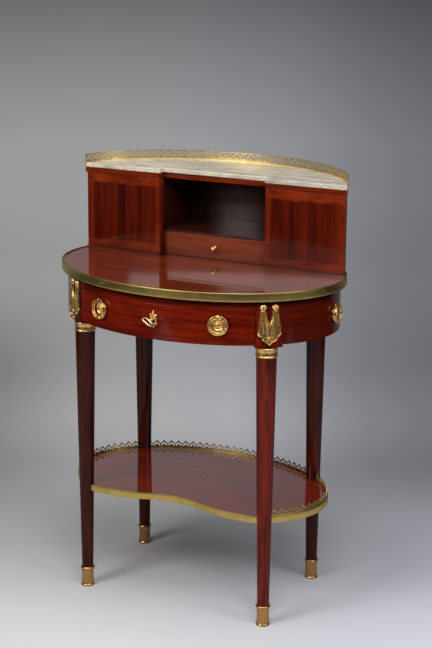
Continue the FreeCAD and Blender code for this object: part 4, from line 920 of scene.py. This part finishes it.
def ring_shape(bead):
    """A flat ring with two moulded rims and two rows of beads, broken at its top for the pin."""
    shape = Shape()
    inner, outer = 14.3 * MM, 21.6 * MM
    rim, low = 0.8 * MM, RING_OUT - 1.4 * MM
    section = [(inner, low)]
    for middle in (inner + rim, outer - rim):
        section += bead_line((middle, RING_OUT + 0.9 * MM), rim, 180, 0, 6)
    section.append((outer, low))
    gap = math.asin(KNUCKLE_HALF / RING_RADIUS) + math.radians(1.0)
    shape.arc(section, math.pi / 2 + gap, 5 * math.pi / 2 - gap, 72)
    shape.peg(Vector((0.0, RING_OUT, RING_RADIUS)), KNUCKLE_HALF + 1.7 * MM, 1.25 * MM)
    tablet = math.radians(17)
    beaded = math.radians(78) - tablet
    for radius in (inner + 2.6 * MM, outer - 2.6 * MM):
        count = round(beaded * radius / (2.1 * bead))
        for side in (1, -1):
            for step in range(count):
                angle = -math.pi / 2 + side * (tablet + beaded * step / count)
                shape.ball(round_y(radius, angle, RING_OUT + 1.0 * MM), (bead,) * 3, 8, 6)
    shape.ball(Vector((0.0, RING_OUT + 0.8 * MM, -RING_RADIUS)),
               mm(4.6, 1.7, 3.3), 18, 10)
    return shape


def rosette_shape():
    """A dished plate with a flower on it, and the knuckle that the ring hangs from."""
    plate_radius, flower_radius = 16.5 * MM, 9.8 * MM
    shape = Shape()

    def dish(share, angle):
        ring = 1.0 * math.exp(-((share - 0.72) / 0.07) ** 2)
        return (0.7 + ring + 1.1 * share ** 6 * (1.0 - share ** 24)) * MM

    centre = Vector((0.0, 0.0, 0.0))
    shape.relief(centre, plate_radius, dish, 28, 72)
    shape.relief(centre, flower_radius, flower(10, 5.0 * MM, 0.50), 20, 80)
    top = Vector((0.0, RING_OUT, RING_RADIUS))
    shape.peg(top, KNUCKLE_HALF - 0.2 * MM, 2.4 * MM)
    for step in range(5):
        shape.ball(Vector((0.0, RING_OUT * step / 5, RING_RADIUS)),
                   mm(1.9, 1.4, 1.9), 10, 7)
    shape.ball(top + Vector((0.0, 0.2 * MM, 3.2 * MM)), mm(1.8, 1.8, 1.8), 12, 8)
    return shape


# --- operators
class BONHEUR_OT_legs(Operator):
    """Polishes the four legs and their blocks"""

    bl_idname = "bonheur.legs"
    bl_label = "Legs"

    def execute(self, context):
        wood = context.scene.bonheur_wood
        dark = mahogany("leg_mahogany", wood, "leg", GRAIN_Z, 3.1, 0.9, shine=0.45)
        give(dark, "leg_front_left", "leg_back_left", "leg_back_right")
        # The front right leg takes a lighter, redder copy of the legs' mahogany: painted light
        # where it catches the lamps.
        red = mahogany("red_mahogany", wood, "red", GRAIN_Z, 6.4, 1.5, shine=0.45)
        give(red, "leg_front_right")
        return {"FINISHED"}


class BONHEUR_OT_frieze(Operator):
    """Polishes the aprons, the rails and the two drawer fronts, and leaves the linings bare"""

    bl_idname = "bonheur.frieze"
    bl_label = "Frieze and drawers"

    def execute(self, context):
        wood = context.scene.bonheur_wood
        front = mahogany("drawer_mahogany", wood, "frieze", GRAIN_LEVEL, 7.7, 1.35)
        give(front, "front_top_rail", "front_bottom_rail", "drawer_front")
        side = mahogany("apron_mahogany", wood, "side", GRAIN_LEVEL, 4.6)
        give(side, "apron_left", "apron_right", "apron_back")
        small = mahogany("small_drawer_mahogany", wood, "small", GRAIN_LEVEL, 2.4, 0.8)
        give(small, "small_drawer_front")
        give(oak_lining(wood), "drawer_runner_left", "drawer_runner_right", "drawer_kickers",
             "drawer_side_left", "drawer_side_right", "drawer_back", "drawer_bottom",
             "small_drawer_sides", "small_drawer_back", "small_drawer_bottom", "cabinet_dowels")
        return {"FINISHED"}


class BONHEUR_OT_tops(Operator):
    """Polishes the oval top and the shelf"""

    bl_idname = "bonheur.tops"
    bl_label = "Top and shelf"

    def execute(self, context):
        wood = context.scene.bonheur_wood
        give(mahogany("top_mahogany", wood, "top", GRAIN_X, 1.3, 0.9,
                      shine=1.0, haze=0.03, coat=1.9), "table_top")
        give(mahogany("shelf_mahogany", wood, "shelf", GRAIN_X, 3.7, 0.7,
                      shine=1.0, haze=0.035, coat=2.1), "shelf_board")
        return {"FINISHED"}


class BONHEUR_OT_cabinet(Operator):
    """Polishes the cabinet's walls, boards and doors"""

    bl_idname = "bonheur.cabinet"
    bl_label = "Cabinet"

    def execute(self, context):
        wood = context.scene.bonheur_wood
        # The niche's back, sides and floor take the darker carcase colours: painted shade.
        walls = mahogany("mahogany", wood, "shaded_carcase", GRAIN_Z, 5.9, haze=0.2)
        give(walls, "cabinet_back", "partition_left", "partition_right")
        give(mahogany("niche_mahogany", wood, "shaded_carcase", GRAIN_X, 8.8, haze=0.12), "niche_shelf")
        boards = mahogany("mahogany_boards", wood, "board", GRAIN_X, 9.2)
        give(boards, "cabinet_base", "cabinet_top")
        give(door_veneer(wood), "door_left", "door_right")
        return {"FINISHED"}


class BONHEUR_OT_metal(Operator):
    """Finishes the brass, the steel and the key, and gilds the collars and sabots"""

    bl_idname = "bonheur.metal"
    bl_label = "Metal"

    def execute(self, context):
        metal = context.scene.bonheur_metal
        give(brass_finish("brass", metal), "gallery_band", "top_gallery", "small_drawer_knob",
             "drawer_lock")
        give(brass_finish("brass_dull", metal, 0.6), "shelf_gallery", "band_pins")
        give(brass_finish("brass_top_band", metal, 0.45, "table_top_band"), "table_top_band")
        give(brass_finish("brass_shelf_band", metal, 0.0, "shelf_band"), "shelf_band")
        give(steel_finish(metal), "lock_bolt", "door_pivots")
        give(key_finish(metal), "key")
        give(gilt_finish(GILDING, metal, metal.gilt), "leg_collars")
        give(gilt_finish(BRONZE, metal, metal.bronze), *["sabot_" + name for name in LEGS])
        return {"FINISHED"}


class BONHEUR_OT_marble(Operator):
    """Polishes the marble slab"""

    bl_idname = "bonheur.marble"
    bl_label = "Marble"

    def execute(self, context):
        give(marble_finish(context.scene.bonheur_marble), "marble_top")
        return {"FINISHED"}


class BONHEUR_OT_collars(Operator):
    """Turns the four gilt collars"""

    bl_idname = "bonheur.collars"
    bl_label = "Collars"

    def execute(self, context):
        for name in LEGS:
            shape = Shape()
            shape.lathe(collar_profile(), leg_place(name)[0])
            gilt_mount(shape, "collar_" + name, "frame", "leg_collars", sharp_deg=38.0)
        return {"FINISHED"}


class BONHEUR_OT_sabots(Operator):
    """Turns the four sabots, whose gilding is worn away"""

    bl_idname = "bonheur.sabots"
    bl_label = "Sabots"

    def execute(self, context):
        for name in LEGS:
            shape = Shape()
            shape.lathe(sabot_profile(), leg_place(name)[0])
            gilt_mount(shape, "sabot_piece_" + name, "frame", "sabot_" + name, BRONZE,
                       sharp_deg=60.0)
        return {"FINISHED"}


class BONHEUR_OT_draperies(Operator):
    """Chases the four drapery mounts"""

    bl_idname = "bonheur.draperies"
    bl_label = "Drapery mounts"

    def execute(self, context):
        for name in LEGS:
            shape, place = drapery_shape(name, context.scene.bonheur_mounts)
            gilt_mount(shape, "drapery_piece_" + name, "frame", "drapery_" + name, place=place,
                       sharp_deg=55.0)
        return {"FINISHED"}


class BONHEUR_OT_escutcheon(Operator):
    """Chases the drawer's escutcheon"""

    bl_idname = "bonheur.escutcheon"
    bl_label = "Escutcheon"

    def execute(self, context):
        shape, place = escutcheon_shape()
        gilt_mount(shape, "escutcheon_piece", "main_drawer", "escutcheon", place=place)
        return {"FINISHED"}


class BONHEUR_OT_pulls(Operator):
    """Chases the four ring pulls and their rosettes"""

    bl_idname = "bonheur.pulls"
    bl_label = "Ring pulls"

    def execute(self, context):
        bead = context.scene.bonheur_mounts.bead_radius
        for name, (point, normal) in pull_places().items():
            place = facing(point, normal)
            gilt_mount(ring_shape(bead), name + "_piece", name, name, place=place)
            on_drawer = name.startswith("drawer")
            gilt_mount(rosette_shape(), name + "_rosette", "main_drawer" if on_drawer else "frame",
                       "drawer_ring_plates" if on_drawer else "side_ring_plates", place=place)
        return {"FINISHED"}


# --- studio
VIEW_AZIMUTH = math.radians(26.19)
VIEW_PITCH = math.radians(11.68)
VIEW_ROLL = math.radians(0.41)
VIEW_RIGHT = Vector((math.cos(VIEW_AZIMUTH), math.sin(VIEW_AZIMUTH), 0.0))
VIEW_AWAY = Vector((-math.sin(VIEW_AZIMUTH), math.cos(VIEW_AZIMUTH), 0.0))
CAMERA_PLACE = Vector((1.4774, -2.9340, 1.5208))
LENS = 84.59
SENSOR = 36.0
SHIFT_DOWN = -100.0 / 648.0
LIT_POINT = Vector((0.0, 0.0, 0.62))

# Each lamp's place, as right, away and up from the camera's side, its size and its colour
LAMPS = {
    "key": ((-1.95, -1.65, 1.98), (1.0, 1.15), (1.0, 0.98, 0.95)),
    "front": ((0.2, -2.2, 2.5), (1.6, 1.0), (1.0, 1.0, 1.0)),
    "fill": ((1.9, -1.6, 1.9), (1.2, 1.4), (0.96, 0.98, 1.0)),
    "overhead": ((-0.2, -0.35, 2.8), (1.9, 1.4), (1.0, 1.0, 1.0)),
}

# The paper's painted light and shade: the wall's glow up its lit part, across it high up and low
# down, and the floor's painted light and painted shadow away over it
WALL_LIT = 1.5
FLOOR_NEAR, FLOOR_FAR = -1.0, 1.0
UP_WALL = [
    (0.0, 0.37), (0.09, 0.355), (0.16, 0.33), (0.31, 0.312), (0.42, 0.335), (0.54, 0.330),
    (0.64, 0.275), (0.74, 0.215), (0.83, 0.155), (1.0, 0.09),
]
ACROSS_HIGH = [
    (0.15, 0.96), (0.33, 1.0), (0.48, 0.97), (0.63, 0.83), (0.74, 0.65), (0.82, 0.55), (0.95, 0.45),
]
ACROSS_LOW = [
    (0.10, 0.42), (0.20, 0.58), (0.32, 0.88), (0.44, 1.0), (0.54, 0.97), (0.63, 0.74), (0.74, 0.54),
    (0.82, 0.46), (0.95, 0.38),
]
OVER_FLOOR = [
    (0.0, 0.68), (0.35, 0.68), (0.42, 0.64), (0.50, 0.55), (0.61, 0.50), (0.73, 0.53), (0.87, 0.58),
    (1.0, 0.64),
]
COOL_SIDE = (0.99, 1.0, 1.11)
DULL_PAPER = (0.30, 0.30, 0.30, 1.0)
ROOM_LIGHT = (1.0, 0.99, 0.98, 1.0)
SHEET_HALF = 4.0
SHEET_BEND, SHEET_CURVE, SHEET_TOP = 0.80, 0.60, 5.0
FLOOR_BEHIND = [(0.5, -2 * MM), (6.0, -2 * MM)]


def paper_wall(finish, side, height):
    """The wall's painted glow, bright low behind the piece and falling off upwards and sideways."""
    across = side / 2.0 + 0.5
    sideways = finish.blend(finish.between(height, 0.10, 0.40), finish.ramp(across, ACROSS_LOW),
                            finish.ramp(across, ACROSS_HIGH))
    return finish.tint(finish.ramp(height / WALL_LIT, UP_WALL), sideways)


def paper_floor(finish, side, away):
    """The floor's colour, with painted light and shade: brighter to the front, a painted shadow
    under the piece, darker to the sides further back, and dimmer near the key light and where a
    polished surface mirrors it.
    """
    low_down = finish.ramp(side / 2.0 + 0.5, ACROSS_LOW)
    share = (away - FLOOR_NEAR) / (FLOOR_FAR - FLOOR_NEAR)
    # Painted light falling off away from the front, a painted shadow under the piece, and painted
    # shade to the sides further back.
    floor = finish.tint(finish.ramp(share, OVER_FLOOR),
                        finish.blend(finish.between(away, 0.1, 0.75), WHITE, low_down))
    mirrored = finish.add("ShaderNodeLightPath", output="Is Glossy Ray")
    far_off = finish.between(abs(side), 1.85, 2.0) + (1.0 - finish.between(away, -2.0, -1.85))
    floor = finish.darken(floor, mirrored * (0.2 + far_off * 0.8))
    # Painted shade on the floor near the key light.
    near_lamp = 1.0 - finish.between(side, -0.55, -0.05)
    return finish.darken(floor, near_lamp * 0.06)


def paper_finish(name, one_sided):
    """Grey paper, cooler to the right: a lit floor that turns into a wall that glows with painted
    light.
    """
    finish = Finish(name)
    side, away, height = finish.axes(finish.place())
    cool = finish.blend(finish.between(side, -0.55, 0.55), WHITE, COOL_SIDE)
    floor = finish.tint(paper_floor(finish, side, away), cool)
    wall = finish.tint(paper_wall(finish, side, height), cool)
    lit = finish.add("ShaderNodeBsdfDiffuse", None, {"Color": floor})
    dull = finish.add("ShaderNodeBsdfDiffuse", None, {"Color": DULL_PAPER})
    # The wall glows with painted light for the camera and in reflections; other rays see dull grey
    # paper.
    glow = finish.add("ShaderNodeEmission", None, {"Color": wall, "Strength": 1.0})
    seen = sum(finish.add("ShaderNodeLightPath", output=ray)
               for ray in ("Is Camera Ray", "Is Glossy Ray", "Is Transmission Ray"))
    surface = finish.mix(finish.between(height, 0.0, 0.16), lit, finish.mix(seen, dull, glow))
    if one_sided:
        # The sheet's faces point out of the room, so it is their backs that the room sees
        faced = finish.add("ShaderNodeNewGeometry", output="Backfacing")
        surface = finish.mix(faced, finish.add("ShaderNodeBsdfTransparent"), surface)
    finish.add("ShaderNodeOutputMaterial", None, {"Surface": surface})
    return finish.material


def build_paper():
    """A sheet that rises in a curve to a wall, and the floor that is seen past it from behind."""
    curve = bead_line((SHEET_BEND, SHEET_CURVE), SHEET_CURVE, -84, 0, 14)
    sweep = [(-4.5, 0.0), (SHEET_BEND, 0.0), *curve, (SHEET_BEND + SHEET_CURVE, SHEET_TOP)]
    for name, profile in {"studio_sweep": sweep, "studio_floor": FLOOR_BEHIND}.items():
        shape = Shape()
        shape.grid(len(profile), 2,
                   lambda row, column: Vector((SHEET_HALF * (2 * column - 1), *profile[row])))
        sheet = shape.build(name, paper_finish(name + "_paper", name == "studio_sweep"))
        sheet.rotation_euler = (0.0, 0.0, VIEW_AZIMUTH)


def build_lamp(name, watts):
    (right, away, up), size, colour = LAMPS[name]
    data = bpy.data.lights.new(name, "AREA")
    data.shape = "RECTANGLE"
    data.size, data.size_y = size
    data.energy = watts
    data.color = colour
    lamp = bpy.data.objects.new(name, data)
    bpy.context.scene.collection.objects.link(lamp)
    lamp.location = VIEW_RIGHT * right + VIEW_AWAY * away + Vector((0.0, 0.0, up))
    lamp.rotation_euler = (LIT_POINT - lamp.location).to_track_quat("-Z", "Y").to_euler()


def build_camera():
    data = bpy.data.cameras.new("camera")
    data.lens = LENS
    data.sensor_width = SENSOR
    data.sensor_fit = "AUTO"
    data.shift_y = SHIFT_DOWN
    data.clip_end = 50.0
    camera = bpy.data.objects.new("camera", data)
    bpy.context.scene.collection.objects.link(camera)
    forward = VIEW_AWAY * math.cos(VIEW_PITCH) - Vector((0, 0, math.sin(VIEW_PITCH)))
    up = VIEW_RIGHT.cross(forward)
    right = VIEW_RIGHT * math.cos(VIEW_ROLL) + up * math.sin(VIEW_ROLL)
    above = up * math.cos(VIEW_ROLL) - VIEW_RIGHT * math.sin(VIEW_ROLL)
    turn = Matrix((right, above, -forward)).transposed().to_4x4()
    camera.matrix_world = Matrix.Translation(CAMERA_PLACE) @ turn
    bpy.context.scene.camera = camera


def build_world(strength):
    world = bpy.data.worlds.new("room")
    world.use_nodes = True
    room = Finish("room", world.node_tree)
    background = room.add("ShaderNodeBackground", None, {"Color": ROOM_LIGHT,
                                                        "Strength": strength})
    room.add("ShaderNodeOutputWorld", None, {"Surface": background})
    bpy.context.scene.world = world


class BONHEUR_OT_studio(Operator):
    """Sets up the floor and backdrop, the lights and the camera"""

    bl_idname = "bonheur.studio"
    bl_label = "Studio"

    def execute(self, context):
        studio = context.scene.bonheur_studio
        build_paper()
        for name in LAMPS:
            build_lamp(name, getattr(studio, name + "_watts"))
        build_world(studio.room)
        build_camera()
        context.scene.view_settings.view_transform = "Standard"
        return {"FINISHED"}


# --- add-on
class BONHEUR_PT_panel(Panel):
    """Lists what the add-on makes"""

    bl_idname = "BONHEUR_PT_panel"
    bl_label = "Bonheur du jour"
    bl_space_type = "VIEW_3D"
    bl_region_type = "UI"
    bl_category = "Bonheur du jour"

    def draw(self, context):
        for name, group in SETTINGS.items():
            box = self.layout.box()
            settings = getattr(context.scene, name)
            for key in group.__annotations__:
                box.prop(settings, key)
        for operator in OPERATORS:
            self.layout.operator(operator.bl_idname)


SETTINGS = {
    "bonheur_wood": WoodSettings,
    "bonheur_metal": MetalSettings,
    "bonheur_marble": MarbleSettings,
    "bonheur_mounts": MountSettings,
    "bonheur_studio": StudioSettings,
}
OPERATORS = [
    BONHEUR_OT_legs,
    BONHEUR_OT_frieze,
    BONHEUR_OT_tops,
    BONHEUR_OT_cabinet,
    BONHEUR_OT_metal,
    BONHEUR_OT_marble,
    BONHEUR_OT_collars,
    BONHEUR_OT_sabots,
    BONHEUR_OT_draperies,
    BONHEUR_OT_escutcheon,
    BONHEUR_OT_pulls,
    BONHEUR_OT_studio,
]


def register():
    for group in SETTINGS.values():
        bpy.utils.register_class(group)
    for name, group in SETTINGS.items():
        setattr(bpy.types.Scene, name, PointerProperty(type=group))
    for operator in OPERATORS:
        bpy.utils.register_class(operator)
    bpy.utils.register_class(BONHEUR_PT_panel)


def unregister():
    bpy.utils.unregister_class(BONHEUR_PT_panel)
    for operator in reversed(OPERATORS):
        bpy.utils.unregister_class(operator)
    for name in SETTINGS:
        delattr(bpy.types.Scene, name)
    for group in reversed(list(SETTINGS.values())):
        bpy.utils.unregister_class(group)


def main():
    register()
    for operator in OPERATORS:
        family, name = operator.bl_idname.split(".")
        getattr(getattr(bpy.ops, family), name)()


if __name__ == "__main__":
    main()
